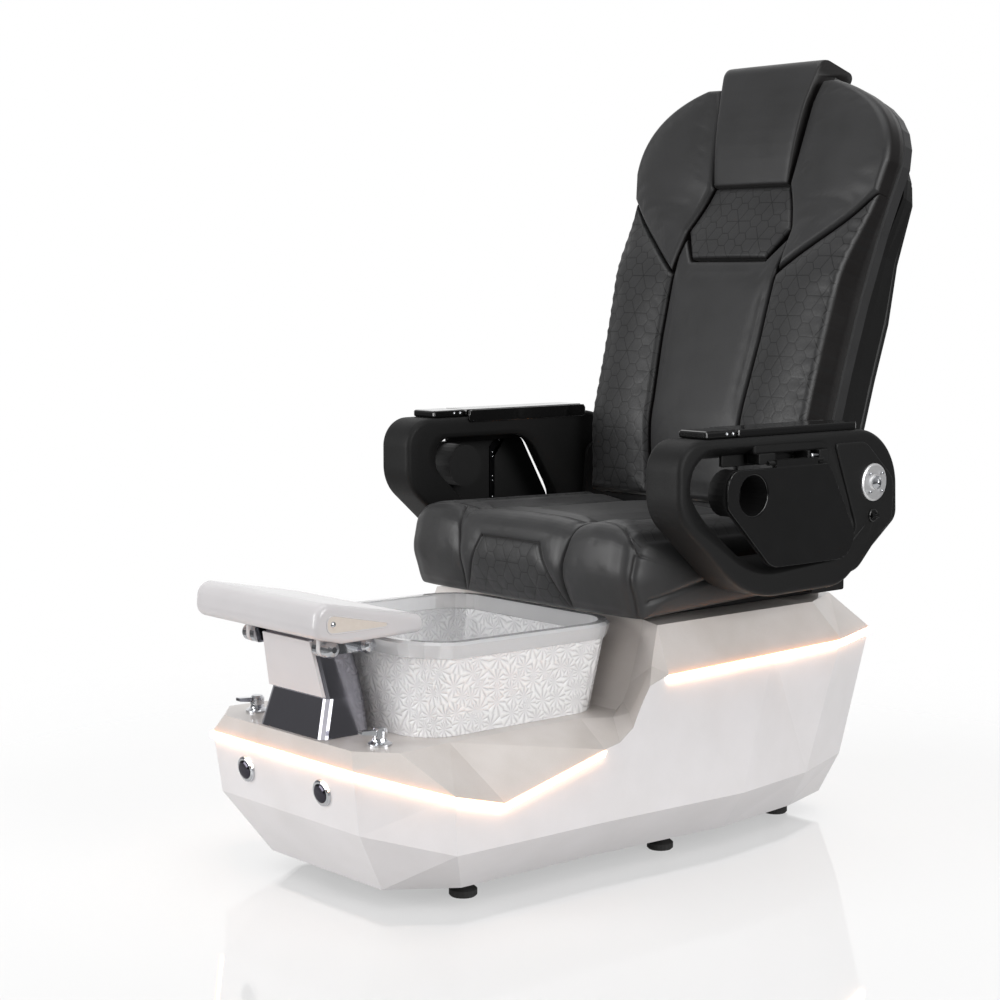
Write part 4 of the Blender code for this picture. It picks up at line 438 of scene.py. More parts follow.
plain_leather = leather("grained_black_leather", False)
quilted_leather = leather("quilted_black_leather", True)
paint(plain_leather, "back_board")
print("leather: plain and quilted")

# %% [markdown]
# Panels of the back
# The back is a board with foam panels glued on and leather sewn over them, so each panel is a pad that is
# full in the middle and pulled down to the seams. A panel lies between four seam lines. Blending the
# lines gives each grid point its place across and along the back, and a crown gives its height.
# The back is drawn in its own frame: x across, depth towards the rear, and height along the back.

# %% Frame of the back and seam lines
LEAN = radians(15.5)
HINGE = (0.3599, 0.520)
PAD_BACK = -0.0063
FOOT, WAIST, NECK_TOP, SHOULDER, CROWN = 0.074, 0.545, 0.697, 0.740, 0.925
HALF_FOOT, FLARE, FLARE_FROM, FLARE_LENGTH = 0.285, 0.047, 0.060, 0.680
ARCH_HALF, ARCH_RISE, ARCH_POWER = 0.332, 0.185, 2.3
LUMBAR = 0.036


def on_back(x, depth, along):
    """Place of back-frame points: turned by the lean about the hinge line."""
    y = HINGE[0] + depth * cos(LEAN) + along * sin(LEAN)
    z = HINGE[1] - depth * sin(LEAN) + along * cos(LEAN)
    return np.stack(np.broadcast_arrays(x, y, z), -1)


def run_length(line):
    """Length along a chain of points, from 0 at its first point: the sum of its links so far."""
    return np.r_[0, np.cumsum(np.linalg.norm(np.diff(line, axis=0), axis=1))]


def at_length(line, run, where):
    """Points of a chain at given lengths along it, by linear interpolation."""
    return np.stack([np.interp(where, run, line[:, k]) for k in (0, 1)], -1)


def chain(points, share, smooth=0):
    """Points at shares of the length of a chain; smooth cuts its corners at 1/4 and 3/4 so many times."""
    line = np.array(points, float)
    for _ in range(smooth):
        cut = [0.75 * line[:-1] + 0.25 * line[1:], 0.25 * line[:-1] + 0.75 * line[1:]]
        line = np.concatenate([line[:1], np.stack(cut, 1).reshape(-1, 2), line[-1:]])
    run = run_length(line)
    return at_length(line, run, share * run[-1])


def eased(value):
    """Smooth step: 3 t^2 - 2 t^3 between 0 and 1."""
    t = np.clip(value, 0, 1)
    return t * t * (3 - 2 * t)


def half_width(along):
    """Half width of the back: 285 mm at the foot, flaring by the cube of the height to 332 mm."""
    return HALF_FOOT + FLARE * ((along - FLARE_FROM) / FLARE_LENGTH) ** 3


def lumbar(along):
    """Extra depth of the panels over the small of the back: eased in over 180 mm and out over 190 mm."""
    return LUMBAR * eased((along - FLARE_FROM) / 0.18) * (1 - eased((along - WAIST + 0.05) / 0.19))


def arch(turn):
    """Arched top from the shoulder (0) to the crown (1): a superellipse of power 2.3."""
    angle = np.asarray(turn) * pi / 2
    across, up = (f(angle) ** (2 / ARCH_POWER) for f in (np.cos, np.sin))
    return np.stack([ARCH_HALF * across, SHOULDER + ARCH_RISE * up], -1)


CENTRE_LINE = [
    (0.1125, FOOT), (0.1185, 0.259), (0.1285, 0.381), (0.1335, 0.525),
    (0.1375, WAIST + 0.012), (0.1355, WAIST + 0.046),
]
UNDER_NECK = [(0.1355, WAIST + 0.046), (0.0995, WAIST - 0.0035)]
NECK_LINE = [(0.0965, WAIST + 0.0015), (0.1335, WAIST + 0.0615), (0.0965, NECK_TOP + 0.0015)]
print("back hinge at", HINGE, "lean", round(LEAN, 4))

# %% [markdown]
# Leather under tension
# Sewn leather is cut a little larger than its foam, and the foam pushes it out between the seams, which leaves
# soft ripples. That is a job for Blender's cloth: a coarse sheet of about 10 mm cells is held along its
# seams and blown up. Only its move outwards is kept and spread over the fine grid, because the fine
# grid would take minutes and its seams and quilting have to stay where they are.

# %% Cloth on a coarse sheet
PRESSURE, SLACK, FRAMES = 6.0, 0.003, 16


def grid_faces(rows, columns):
    """Quads of a grid of points counted row by row."""
    index = np.arange(rows * columns).reshape(rows, columns)
    return np.stack([index[:-1, :-1], index[:-1, 1:], index[1:, 1:], index[1:, :-1]], -1).reshape(-1, 4)


def weights(to, given):
    """Matrix that interpolates linearly from given positions to others: a hat function in each column."""
    return np.stack([np.interp(to, given, hat) for hat in np.eye(len(given))], -1)


def swell(points, held, out, most):
    """Move along out of a grid of points, in metres: cloth cut too large by the slack, held at some points.

    The move d counts from 0 and levels off at most, as most tanh(d / most).
    """
    rows, columns = held.shape
    mesh = bpy.data.meshes.new("sheet")
    mesh.from_pydata(points.reshape(-1, 3).tolist(), [], grid_faces(rows, columns).tolist())
    sheet = add_object("sheet", mesh)
    sheet.vertex_groups.new(name="held").add(np.flatnonzero(held).tolist(), 1.0, "REPLACE")
    normal = np.cross(points[:-1, 1:] - points[:-1, :-1], points[1:, :-1] - points[:-1, :-1])
    facing = np.sign((normal * np.broadcast_to(out, points.shape)[:-1, :-1]).sum())
    cloth = sheet.modifiers.new("leather", "CLOTH")
    cloth.point_cache.frame_end = FRAMES
    cut = cloth.settings
    cut.vertex_group_mass = "held"
    cut.quality, cut.mass = 5, 0.3
    cut.tension_stiffness = cut.compression_stiffness = 15.0
    cut.shear_stiffness, cut.bending_stiffness = 5.0, 1.0
    cut.shrink_min = -SLACK
    cut.use_pressure, cut.uniform_pressure_force = True, PRESSURE * facing
    cut.effector_weights.gravity = 0.0
    for step in range(1, FRAMES + 1):
        bpy.context.scene.frame_set(step)
    blown = sheet.evaluated_get(bpy.context.evaluated_depsgraph_get())
    after = np.empty(points.size, np.float32)
    blown.data.vertices.foreach_get("co", after)
    bpy.data.objects.remove(sheet)
    bpy.data.meshes.remove(mesh)
    bpy.context.scene.frame_set(1)
    move = ((after.reshape(points.shape) - points) * out).sum(-1)
    print("leather moved", round(float(move.max()) / MM, 1), "mm, limit", most / MM, "mm")
    return most * np.tanh(np.clip(move, 0.0, None) / most)


print("cloth ready, simulated")

# %% [markdown]
# A pad as a mesh
# A pad is a face on a grid, a wall that runs round its edge back to the board, and a flat rear. The grid
# is closer near the edges, by a cosine, because that is where the leather turns. Each point keeps its flat
# place and its closeness to a seam as attributes, for the leather's pattern and for painted shade: the
# leather is painted dark near the seams and all over the walls, where shade falls between the panels.

# %% Meshes from arrays
def add_piece(name, points, faces, material, body, slot, **attributes):
    """Object from an array of points and faces, with point attributes, riding on a body."""
    mesh = bpy.data.meshes.new(name)
    mesh.from_pydata(points.reshape(-1, 3).tolist(), [], faces)
    for label, values in attributes.items():
        values = np.asarray(values, np.float32)
        kind, field = ("FLOAT_VECTOR", "vector") if values.ndim == 2 else ("FLOAT", "value")
        mesh.attributes.new(label, kind, "POINT").data.foreach_set(field, values.ravel())
    shape = bmesh.new()
    shape.from_mesh(mesh)
    bmesh.ops.remove_doubles(shape, verts=shape.verts, dist=1e-6)
    bmesh.ops.recalc_face_normals(shape, faces=shape.faces)
    shape.to_mesh(mesh)
    shape.free()
    mesh.shade_smooth()
    mesh.materials.append(material)
    piece = add_object(name, mesh)
    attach(piece, body)
    return piece


def strip_faces(rows, count, caps=True):
    """Quads between closed rings of points; caps closes the first and the last ring with a face."""
    index = np.arange(rows * count).reshape(rows, count)
    after = np.roll(index, -1, 1)
    faces = np.stack([index[:-1], after[:-1], after[1:], index[1:]], -1).reshape(-1, 4).tolist()
    return faces + ([index[0].tolist(), index[-1].tolist()] if caps else [])


print("meshes ready")

# %% Pad builder
CELLS, COARSE_CELLS = (84, 110), (27, 42)
PAD_SWELL, SEAM_DARK = 0.005, 0.0016
WALL_RINGS = (0.75, 0.4, 0.0)


def add_pad(name, bottom, top, inner, outer, foam, material, quilt=0.0, bend=None):
    """Pad between four lines of (x, along), over foam given as (level, crown, roll, (p, q)).

    The flat place is the blend of the sides plus the blend of the ends less the blend of the corners.
    The height is level + lumbar + crown * sqrt((1 - |2u-1|^p) (1 - |2v-1|^q)), changed by bend. Within
    roll of the edge it drops along a quarter circle, roll * (1 - sqrt(1 - (1 - distance / roll)^2)).
    """
    level, crown, roll, powers = foam

    def shape(u, v):
        """Place across and along, crown share, gap to the edge and height of the pad at u and v."""
        low, high, left, right = bottom(u), top(u), inner(v), outer(v)
        U, V = u[None, :, None], v[:, None, None]
        sides = left[:, None] * (1 - U) + right[:, None] * U
        ends = low[None] * (1 - V) + high[None] * V
        corners = (low[0] * (1 - U) + low[-1] * U) * (1 - V) + (high[0] * (1 - U) + high[-1] * U) * V
        x, t = np.moveaxis(sides + ends - corners, -1, 0)
        U, V = U[..., 0], V[..., 0]
        rise = (1 - np.abs(2 * U - 1) ** powers[0]) * (1 - np.abs(2 * V - 1) ** powers[1])
        width = np.linalg.norm(right - left, axis=1)[:, None]
        length = np.linalg.norm(high - low, axis=1)[None, :]
        gap = np.minimum(np.minimum(U, 1 - U) * width, np.minimum(V, 1 - V) * length)
        drop = roll * (1 - np.sqrt(1 - (1 - np.clip(gap / roll, 0, 1)) ** 2))
        return x, t, rise, gap, level + lumbar(t) + crown * np.sqrt(np.clip(rise, 0, None)) - drop

    coarse_u, coarse_v = (np.linspace(0, 1, count) for count in COARSE_CELLS)
    x, t, rise, gap, height = shape(coarse_u, coarse_v)
    ahead = np.array([0.0, -cos(LEAN), sin(LEAN)])
    move = swell(on_back(x, PAD_BACK - height, t), gap < roll, ahead, PAD_SWELL)
    across, along = CELLS
    u, v = (0.5 - 0.5 * np.cos(np.linspace(0, pi, count)) for count in CELLS)
    x, t, rise, gap, height = shape(u, v)
    height = height + weights(v, coarse_v) @ move @ weights(u, coarse_u).T
    if bend is not None:
        height = height + bend(x, t) * np.clip(rise * 6, 0, 1)
    index = np.arange(x.size).reshape(along, across)
    loop = np.concatenate([index[0], index[1:, -1], index[-1, -2::-1], index[-2:0:-1, 0]])
    count = len(loop)
    x, t, height = x.ravel(), t.ravel(), height.ravel()
    walls = [on_back(x[loop], PAD_BACK - height[loop] * share, t[loop]) for share in WALL_RINGS]
    points = np.concatenate([on_back(x, PAD_BACK - height, t), *walls])
    loops = [loop] + [x.size + k * count + np.arange(count) for k in range(len(WALL_RINGS))]
    faces = grid_faces(along, across).tolist()
    for one, two in zip(loops, loops[1:]):
        faces += np.stack([one, np.roll(one, -1), np.roll(two, -1), two], -1).tolist()
    faces.append(loops[-1].tolist())
    flat = np.stack([x, t, 0 * x], -1)
    # Painted shade: the colour goes dark near the edge of the face, and fully dark on the walls between the panels.
    border = np.exp(-((gap / SEAM_DARK) ** 2)).ravel()
    pad = add_piece(
        name, points, faces, material, "back", "black_quilted_leather" if quilt else "black_leather",
        flat=np.concatenate([flat] + [flat[loop]] * len(WALL_RINGS)),
        seam=np.concatenate([border] + [np.ones(count)] * len(WALL_RINGS)),
        quilt=np.full(len(points), quilt),
    )
    return pad


def mirrored(line, sign):
    """The same line on one side of the back: x times the sign."""
    return lambda share: line(share) * np.array([sign, 1.0])


def straight(start, end):
    """Line straight across from one point to another."""
    return lambda share: start[None] * (1 - share[:, None]) + end[None] * share[:, None]


print("pad builder ready")

# %% [markdown]
# Centre panel and neck roll
# The centre panel is plain and nearly flat. The neck roll above it is a six-sided quilted pad, and the upper
# corners of the centre panel reach up beside its slanted sides. Both are symmetrical, so their left edge is
# the right edge mirrored.

# %% Centre and neck
CENTRE_FOAM, NECK_FOAM = (0.035, 0.005, 0.009, (2, 2)), (0.037, 0.006, 0.009, (2, 2))
for name, line, foam, skin, quilt in (
    ("centre_pad", CENTRE_LINE, CENTRE_FOAM, plain_leather, 0.0),
    ("neck_pad", NECK_LINE, NECK_FOAM, quilted_leather, 1.0),
):
    right = lambda share, line=line: chain(line, share)
    bottom, top = (straight(np.array(end) * [-1, 1], np.array(end)) for end in (line[0], line[-1]))
    if name == "centre_pad":
        top = lambda share: chain([(-x, t) for x, t in UNDER_NECK] + UNDER_NECK[::-1], share)
    piece = add_pad(name + "_leather", bottom, top, mirrored(right, -1), right, foam, skin, quilt)
    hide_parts(name)
    print(piece.name, len(piece.data.polygons), "faces")

# %% [markdown]
# Wings and bolsters
# The wings wrap the shoulders and lie over the bolsters with a thick lower edge. The bolsters are quilted,
# and along their outer edge the leather is drawn over the foam in small puckers about 24 mm apart, which
# die out within 30 mm. A sine along the edge with a decaying amplitude gives them.

# %% Edges of wings and bolsters
RIM_T = WAIST + 0.135
RIM_GAP = 0.004
SIDE_SHARE, ARCH_SHARE = 0.2, 0.70
WING_LOW = [(0.142, WAIST - 0.022), (0.200, WAIST + 0.026), (0.272, WAIST + 0.085)]
WING_INNER = [
    (0.142, WAIST - 0.022), (0.1385, WAIST + 0.060), (0.1015, NECK_TOP),
    (0.1075, NECK_TOP + 0.060), (0.1175, NECK_TOP + 0.160), (0.132, CROWN - 0.019),
]
BOLSTER_INNER = [(0.1165, FOOT), (0.1225, 0.259), (0.1325, 0.381), (0.1365, WAIST - 0.032)]
BOLSTER_TOP = [(0.200, WAIST + 0.023), (0.272, WAIST + 0.082)]


def rim_line(t):
    """Points just inside the edge of the back at heights t."""
    return np.stack([half_width(t) - RIM_GAP, t], -1)


def wing_outer(share):
    """Outer edge of a wing: up the side of the back for a fifth of the share, then round its arch."""
    low = rim_line(RIM_T + (SHOULDER - RIM_T) * np.clip(share / SIDE_SHARE, 0, 1))
    high = arch(np.clip((share - SIDE_SHARE) / (1 - SIDE_SHARE), 0, 1) * ARCH_SHARE) + [-RIM_GAP, -0.002]
    return np.where(share[:, None] < SIDE_SHARE, low, high)


def wing_inner(share):
    """Inner edge of a wing: along the neck roll and the head pillow."""
    return chain(WING_INNER, share)


def wing_low(share):
    """Lower edge of a wing, from its tip by the neck roll out to the side."""
    return chain(WING_LOW + [tuple(wing_outer(np.zeros(1))[0])], share, 2)


def bolster_inner(share):
    """Inner edge of a bolster, along the centre panel up to the wing's tip."""
    return chain(BOLSTER_INNER, share)


def bolster_outer(share):
    """Outer edge of a bolster, just inside the edge of the back."""
    return rim_line(FOOT + (RIM_T - 0.003 - FOOT) * share)


def bolster_top(share):
    """Upper edge of a bolster, under the wing's lower edge."""
    tip, side = (tuple(line(np.ones(1))[0]) for line in (bolster_inner, bolster_outer))
    return chain([tip, *BOLSTER_TOP, side], share, 2)


print("wings from", RIM_T, "m, bolsters from", FOOT, "m along the back")

# %% Wings and bolsters
WING_FOAM, BOLSTER_FOAM = (0.043, 0.012, 0.013, (2, 2)), (0.038, 0.010, 0.012, (2, 4))
PUCKER, PUCKER_STEP, PUCKER_FADE = 0.0022, 0.024, 0.014


def puckers(x, t):
    """Puckers along the outer edge: sin(2 pi t / 24 mm) times exp(-distance / 14 mm), 2.2 mm high."""
    outward = half_width(t) - RIM_GAP - np.abs(x)
    wander = 0.5 * np.sin(t * 61) + 0.4 * np.sin(t * 23 + 1)
    return PUCKER * np.sin(tau * t / PUCKER_STEP + wander) * np.exp(-np.clip(outward, 0, None) / PUCKER_FADE)


for side, sign in SIDES.items():
    low_ends = [line(np.zeros(1))[0] * [sign, 1] for line in (bolster_inner, bolster_outer)]
    top_ends = [line(np.ones(1))[0] * [sign, 1] for line in (wing_inner, wing_outer)]
    wing = add_pad(
        f"wing_{side}_leather", mirrored(wing_low, sign), straight(*top_ends), mirrored(wing_inner, sign),
        mirrored(wing_outer, sign), WING_FOAM, plain_leather,
    )
    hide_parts(f"wing_pad_{side}")
    bolster = add_pad(
        f"bolster_{side}_leather", straight(*low_ends), mirrored(bolster_top, sign), mirrored(bolster_inner, sign),
        mirrored(bolster_outer, sign), BOLSTER_FOAM, quilted_leather, 1.0, puckers,
    )
    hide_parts(f"bolster_{side}")
    print(wing.name, bolster.name, len(bolster.data.polygons), "faces")

# %% [markdown]
# Head pillow
# The head pillow is a thick flap that hangs over the crown: wide at the top, narrower where it meets the
# neck roll, with a crisp fold over the top. Its side profile is a closed outline with rounded corners, and
# that profile is carried across the width, drawn in a little at both ends.

# %% Rounded outlines
def fillet(corners, steps=8):
    """Closed outline with each corner (a, b, radius) replaced by an arc that touches both its sides."""
    points = np.array([c[:2] for c in corners], float)
    made = []
    for k, (_, _, radius) in enumerate(corners):
        here = points[k]
        legs = points[k - 1] - here, points[k + 1 - len(points)] - here
        before, after = (leg / np.linalg.norm(leg) for leg in legs)
        half = np.arccos(np.clip(before @ after, -1, 1)) / 2
        middle = (before + after) / np.linalg.norm(before + after)
        centre = here + middle * radius / sin(half)
        ends = [here + leg * radius / np.tan(half) - centre for leg in (before, after)]
        start, end = (np.arctan2(e[1], e[0]) for e in ends)
        turn = start + ((end - start + pi) % tau - pi) * np.linspace(0, 1, steps)
        made.append(centre + radius * np.stack([np.cos(turn), np.sin(turn)], -1))
    return np.concatenate(made)


def resample(outline, count):
    """Points at equal steps round a closed outline."""
    closed = np.concatenate([outline, outline[:1]])
    run = run_length(closed)
    return at_length(closed, run, np.linspace(0, run[-1], count, endpoint=False))


print("rounded outlines ready")

# %% Head pillow
PAD_FRONT = PAD_BACK - 0.038
PILLOW_LOW, PILLOW_REST = NECK_TOP + 0.003, CROWN + 0.0003
PILLOW_SIDE = [
    (PAD_BACK, PILLOW_LOW, 0.004), (PAD_FRONT - 0.007, PILLOW_LOW, 0.007),
    (PAD_FRONT - 0.030, PILLOW_LOW + 0.120, 0.600), (PAD_FRONT - 0.012, CROWN + 0.026, 0.026),
    (0.046, CROWN + 0.022, 0.011), (0.040, PILLOW_REST, 0.004), (PAD_BACK, PILLOW_REST, 0.0005),
]
PILLOW_EDGE = [(0.0965, NECK_TOP), (0.1025, NECK_TOP + 0.060), (0.1125, NECK_TOP + 0.160), (0.1245, CROWN)]
END_DARK, LOW_DARK = 0.012, 0.002
# Shares of the half width, and how far the front is drawn in there.
DRAWN = [0, 0.5, 0.9, 0.955, 0.985, 1.0], [1.02, 1.015, 1.005, 0.995, 0.975, 0.935]
d, t = resample(fillet(PILLOW_SIDE), 220).T
shares = np.r_[-1.0, -0.985, -0.955, np.linspace(-0.9, 0.9, 41), 0.955, 0.985, 1.0][:, None]
draw = np.interp(np.abs(shares), *DRAWN)
edge_x = chain(PILLOW_EDGE, np.linspace(0, 1, 60))
x = shares * np.interp(t, edge_x[:, 1], edge_x[:, 0])
deep = np.where(d < PAD_BACK, PAD_BACK + (d - PAD_BACK) * draw, d)
points = on_back(x, deep, t + 0 * deep)
# Painted shade: the leather is painted dark at both ends of the pillow and along its lower edge, where it meets the
# neck roll.
end_seam = np.exp(-(((1 - np.abs(shares)) / END_DARK) ** 2))
low_seam = np.exp(-(((t - PILLOW_LOW) / LOW_DARK) ** 2))
pillow = add_piece(
    "head_pillow_leather", points, strip_faces(*x.shape), plain_leather, "back", "black_leather",
    flat=np.stack([x, t + 0 * x, 0 * x], -1).reshape(-1, 3),
    seam=0.8 * np.maximum(end_seam, low_seam).ravel(), quilt=np.zeros(x.size),
)
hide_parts("head_pillow")
print(pillow.name, len(pillow.data.polygons), "faces")

# %% [markdown]
# Seat cushion
# The seat is one cushion with an apron down its front. Its side profile is carried across the width; the
# crown, the two channels and the full sides change it from station to station. Seams are lines on
# the developed skin, so each grid point is pressed in by how near it lies to one of them.

# %% Seat profile
SEAT_FRONT, SEAT_REAR = -0.1165, 0.3199
SEAT_LOW, SEAT_TOP = 0.4485, 0.600
HALF_SEAT = 0.298
FRAME_TOP, FRAME_SIDE, FRAME_FRONT = 0.4968, 0.2412, -0.0312
SEAT_SIDE = [
    (SEAT_FRONT + 0.014, SEAT_LOW, 0.012), (SEAT_FRONT - 0.010, SEAT_TOP - 0.078, 0.075),
    (SEAT_FRONT + 0.006, SEAT_TOP, 0.036), (SEAT_REAR, SEAT_TOP - 0.008, 0.024),
    (SEAT_REAR, SEAT_LOW + 0.016, 0.008),
]
REAR_STEPS = 0.62
outline = resample(fillet(SEAT_SIDE), 1200)
start = np.argmin(np.hypot(outline[:, 0] - SEAT_FRONT - 0.02, outline[:, 1] - SEAT_LOW))
outline = np.roll(outline, -int(start), 0)
run = run_length(outline)
shoulder = run[np.argmax(outline[:, 1] > SEAT_TOP - 0.002)] + 0.06
steps = np.r_[
    np.linspace(0, shoulder, 132), np.linspace(shoulder, REAR_STEPS, 60)[1:], np.linspace(REAR_STEPS, run[-1], 36)[1:]
]
profile = at_length(outline, run, steps)
py, pz = profile.T
crest = int(np.argmax(pz > SEAT_TOP - 0.002))
CREST, TAIL = steps[crest], steps[len(pz) - np.argmax(pz[::-1] > SEAT_TOP - 0.03)]
print("seat profile:", len(profile), "points, crest at", round(CREST, 4), "m along it")

# %% [markdown]
# The profile is drawn in towards the corners, lifted over the thighs and bulged in the middle of the apron. A
# table gives these along the half width, and a moving average rounds its corners. Where the seat frame
# is, the skin stays above it.

# %% Seat stations
half_columns = np.r_[
    np.linspace(0, 0.07, 22), np.linspace(0.07, 0.18, 74)[1:], np.linspace(0.18, 0.27, 26)[1:],
    np.linspace(0.27, 0.2925, 18)[1:], 0.2955, 0.2972, HALF_SEAT,
]
columns = np.r_[-half_columns[:0:-1], half_columns]
# Share of the half width, then metres drawn in, lifted and bulged forwards.
STATIONS = np.array([
    (0.00, 0.000, 0.005, 0.004), (0.26, 0.000, 0.004, 0.004), (0.44, 0.000, -0.001, 0.002),
    (0.48, 0.000, -0.005, -0.001), (0.52, 0.000, 0.000, 0.000), (0.68, 0.000, 0.006, 0.001),
    (0.86, 0.002, 0.006, 0.000), (0.955, 0.007, 0.002, 0.000), (0.98, 0.012, 0.000, 0.000),
    (1.0, 0.022, -0.004, 0.000),
])


def smoothed(share, column):
    """Column of the table at shares of the half width, its corners rounded by a moving average 5 % wide."""
    fine = np.linspace(-0.2, 1.2, 1401)
    values = np.interp(np.abs(fine), STATIONS[:, 0], STATIONS[:, column])
    return np.interp(share, fine, np.convolve(np.pad(values, 25, "edge"), np.ones(51) / 51, "valid"))


draw, lift, bulge = (smoothed(np.abs(columns) / HALF_SEAT, k)[:, None] for k in (1, 2, 3))
to_front = eased((SEAT_FRONT + 0.060 - py) / 0.060)
to_rear = eased((py - SEAT_REAR + 0.050) / 0.050)
to_top = eased((pz - SEAT_LOW - 0.03) / (SEAT_TOP - SEAT_LOW - 0.05))
X, S = np.meshgrid(columns, steps, indexing="ij")
AX = np.abs(X)
Y = py + (draw - bulge) * to_front - draw * to_rear
Z = pz + (lift - draw) * to_top
under = (AX < FRAME_SIDE) & (Y > FRAME_FRONT)
Z = np.where(under, np.maximum(Z, FRAME_TOP), Z)
print("seat stations:", X.shape)

# %% [markdown]
# The front apron has two curved seams with a quilted, tapered panel between them. The top has a plain middle
# and quilted sides, and a seam runs along its front edge and down into the corners.

# %% Seat seams
TAPER_TOP, CORNER_TOP = 0.5583, 0.580
TOP_SEAM, SIDE_X, CORNER_X, TAPER_X = CREST + 0.030, 0.143, 0.2935, 0.079
CURVED = ((0.150, 0.578), (0.141, 0.548), (0.138, 0.512), (0.138, 0.484), (0.146, 0.453))
TAPER = ((TAPER_X, TAPER_TOP), (0.094, 0.532), (0.109, 0.504), (0.119, 0.484), (0.130, 0.466), (0.142, 0.4515))
GROOVE_WIDE, PUFF, PUFF_WIDE = 0.0019, 0.0030, 0.007


def on_apron(points):
    """Skin places (x, distance along the profile) of (x, height) points on the front apron."""
    return [(x, np.interp(z, pz[: crest + 1], steps[: crest + 1])) for x, z in points]


def distance(px, ps, line):
    """Distance from skin points to a chain of points, by projecting onto each of its links."""
    best = np.full(px.shape, 1.0)
    for a, b in zip(line[:-1], line[1:]):
        leg = b - a
        share = np.clip(((px - a[0]) * leg[0] + (ps - a[1]) * leg[1]) / (leg @ leg), 0, 1)
        best = np.minimum(best, np.hypot(px - a[0] - share * leg[0], ps - a[1] - share * leg[1]))
    return best


curved = [(0.176, CREST + 0.012), (0.158, CREST - 0.008), *on_apron(CURVED)]
taper = chain(on_apron(TAPER), np.linspace(0, 1, 24), 2)
top = [(0.0, TOP_SEAM), (0.150, TOP_SEAM), (0.225, CREST + 0.016), (0.275, CREST - 0.010)]
top = chain(top + on_apron([(HALF_SEAT, CORNER_TOP)]), np.linspace(0, 1, 40), 2)
# Gap to each seam, and the depth that its thread pulls the skin in.
seams = [
    (distance(AX, S, chain(curved, np.linspace(0, 1, 40), 2)), 0.0036),
    (distance(AX, S, taper), 0.0026),
    (distance(X, S, np.array(on_apron([(-TAPER_X, TAPER_TOP), (TAPER_X, TAPER_TOP)]))), 0.0026),
    (distance(AX, S, top), 0.0030),
    (distance(AX, S, np.array([(SIDE_X, TOP_SEAM), (SIDE_X, TAIL)])), 0.0034),
    (distance(AX, S, np.array([(CORNER_X, 0.0), *on_apron([(CORNER_X, CORNER_TOP)])])), 0.0034),
]
groove = sum(depth * np.exp(-((gap / GROOVE_WIDE) ** 2)) for gap, depth in seams)
fullness = np.minimum.reduce([gap for gap, _ in seams])
puff = PUFF * (1 - np.exp(-fullness / PUFF_WIDE))
# Painted shade with a trace of thread: the skin is coloured dark within a few millimetres of every seam.
dark = np.exp(-((fullness / SEAM_DARK) ** 2))
in_taper = (AX < np.interp(S, taper[::-1, 1], taper[::-1, 0])) & (S < taper[0, 1])
on_top = (AX > SIDE_X) & (S > np.interp(AX, top[:, 0], top[:, 1])) & (S < TAIL)
print(len(seams), "kinds of seam, deepest groove", round(float(groove.max()) / MM, 1), "mm")

# %% [markdown]
# Grooves, puffs and the ripples of the cloth all move the skin along the outward normal of the profile. They
# fade out at the lower edge, and the underside stays plain.

# %% Seat skin
SKIN_HALF, SKIN_SWELL = 0.285, 0.004
SEWN, SEWN_END = 0.012, 0.02
tangent = np.gradient(profile, axis=0)
tangent /= np.linalg.norm(tangent, axis=1)[:, None]
outward = np.stack([-tangent[:, 1], tangent[:, 0]], -1)
outward *= np.sign(((profile - profile.mean(0)) * outward).sum())
skin_x, skin_s = np.linspace(-SKIN_HALF, SKIN_HALF, 50), np.linspace(0.0, TAIL, 64)
to_x, to_s = weights(skin_x, columns), weights(skin_s, steps)
sheet = np.stack([to_x @ axis @ to_s.T for axis in (X, Y, Z)], -1)
out = np.zeros(sheet.shape)
out[..., 1:] = to_s @ outward
held = (to_x @ fullness @ to_s.T < SEWN) | (np.abs(skin_x) > SKIN_HALF - 0.015)[:, None]
held |= (skin_s < SEWN_END) | (skin_s > TAIL - SEWN_END)
ripple = weights(columns, skin_x) @ swell(sheet, held, out, SKIN_SWELL) @ weights(steps, skin_s).T
lifted = np.where(under | (S > TAIL), 0.0, puff - groove + ripple) * eased((S - 0.006) / 0.02)
Y = Y + lifted * outward[:, 0]
Z = Z + lifted * outward[:, 1]
print("skin moved by", np.round([lifted.min() / MM, lifted.max() / MM], 1).tolist(), "mm")

# %% [markdown]
# Both ends are closed by drawing the profile in towards its middle, with a slight fullness, and a sewn line
# slants across the lower part of each side.

# %% Seat cushion
END_FULL, FOLD_DEEP, FOLD_WIDE, FOLD_DARK = 0.016, 0.003, 0.005, 0.002
SIDE_FOLD = np.array([(-0.075, 0.480), (0.055, 0.504), (0.16, 0.520)])
core = np.array([py.mean() + 0.01, 0.52])
inward = np.linspace(0, 1, 26)[1:, None]
ends = []
for sign, column in ((-1.0, 0), (1.0, -1)):
    y, z = (middle + (rim[column] - middle) * (1 - inward) for middle, rim in zip(core, (Y, Z)))
    fold = distance(y, z, SIDE_FOLD)
    full = END_FULL * np.sqrt(1 - (1 - inward) ** 2) - FOLD_DEEP * np.exp(-((fold / FOLD_WIDE) ** 2))
    # Painted shade along the sewn fold at each end: its groove is coloured dark.
    ends.append((np.stack([sign * (HALF_SEAT + full), y, z], -1), np.exp(-((fold / FOLD_DARK) ** 2))))
points = np.concatenate([ends[0][0][::-1], np.stack([X, Y, Z], -1), ends[1][0]])
rows, count = points.shape[:2]
margin = (len(inward), len(inward))
flat = np.pad(np.stack([X, S, 0 * X], -1), (margin, (0, 0), (0, 0)))
seat = add_piece(
    "seat_cushion_leather", points, strip_faces(rows, count, False), quilted_leather, "seat", "black_quilted_leather",
    flat=flat.reshape(-1, 3), seam=np.concatenate([ends[0][1][::-1], dark, ends[1][1]]).ravel(),
    quilt=np.pad((in_taper | on_top).astype(float), (margin, (0, 0))).ravel(),
)
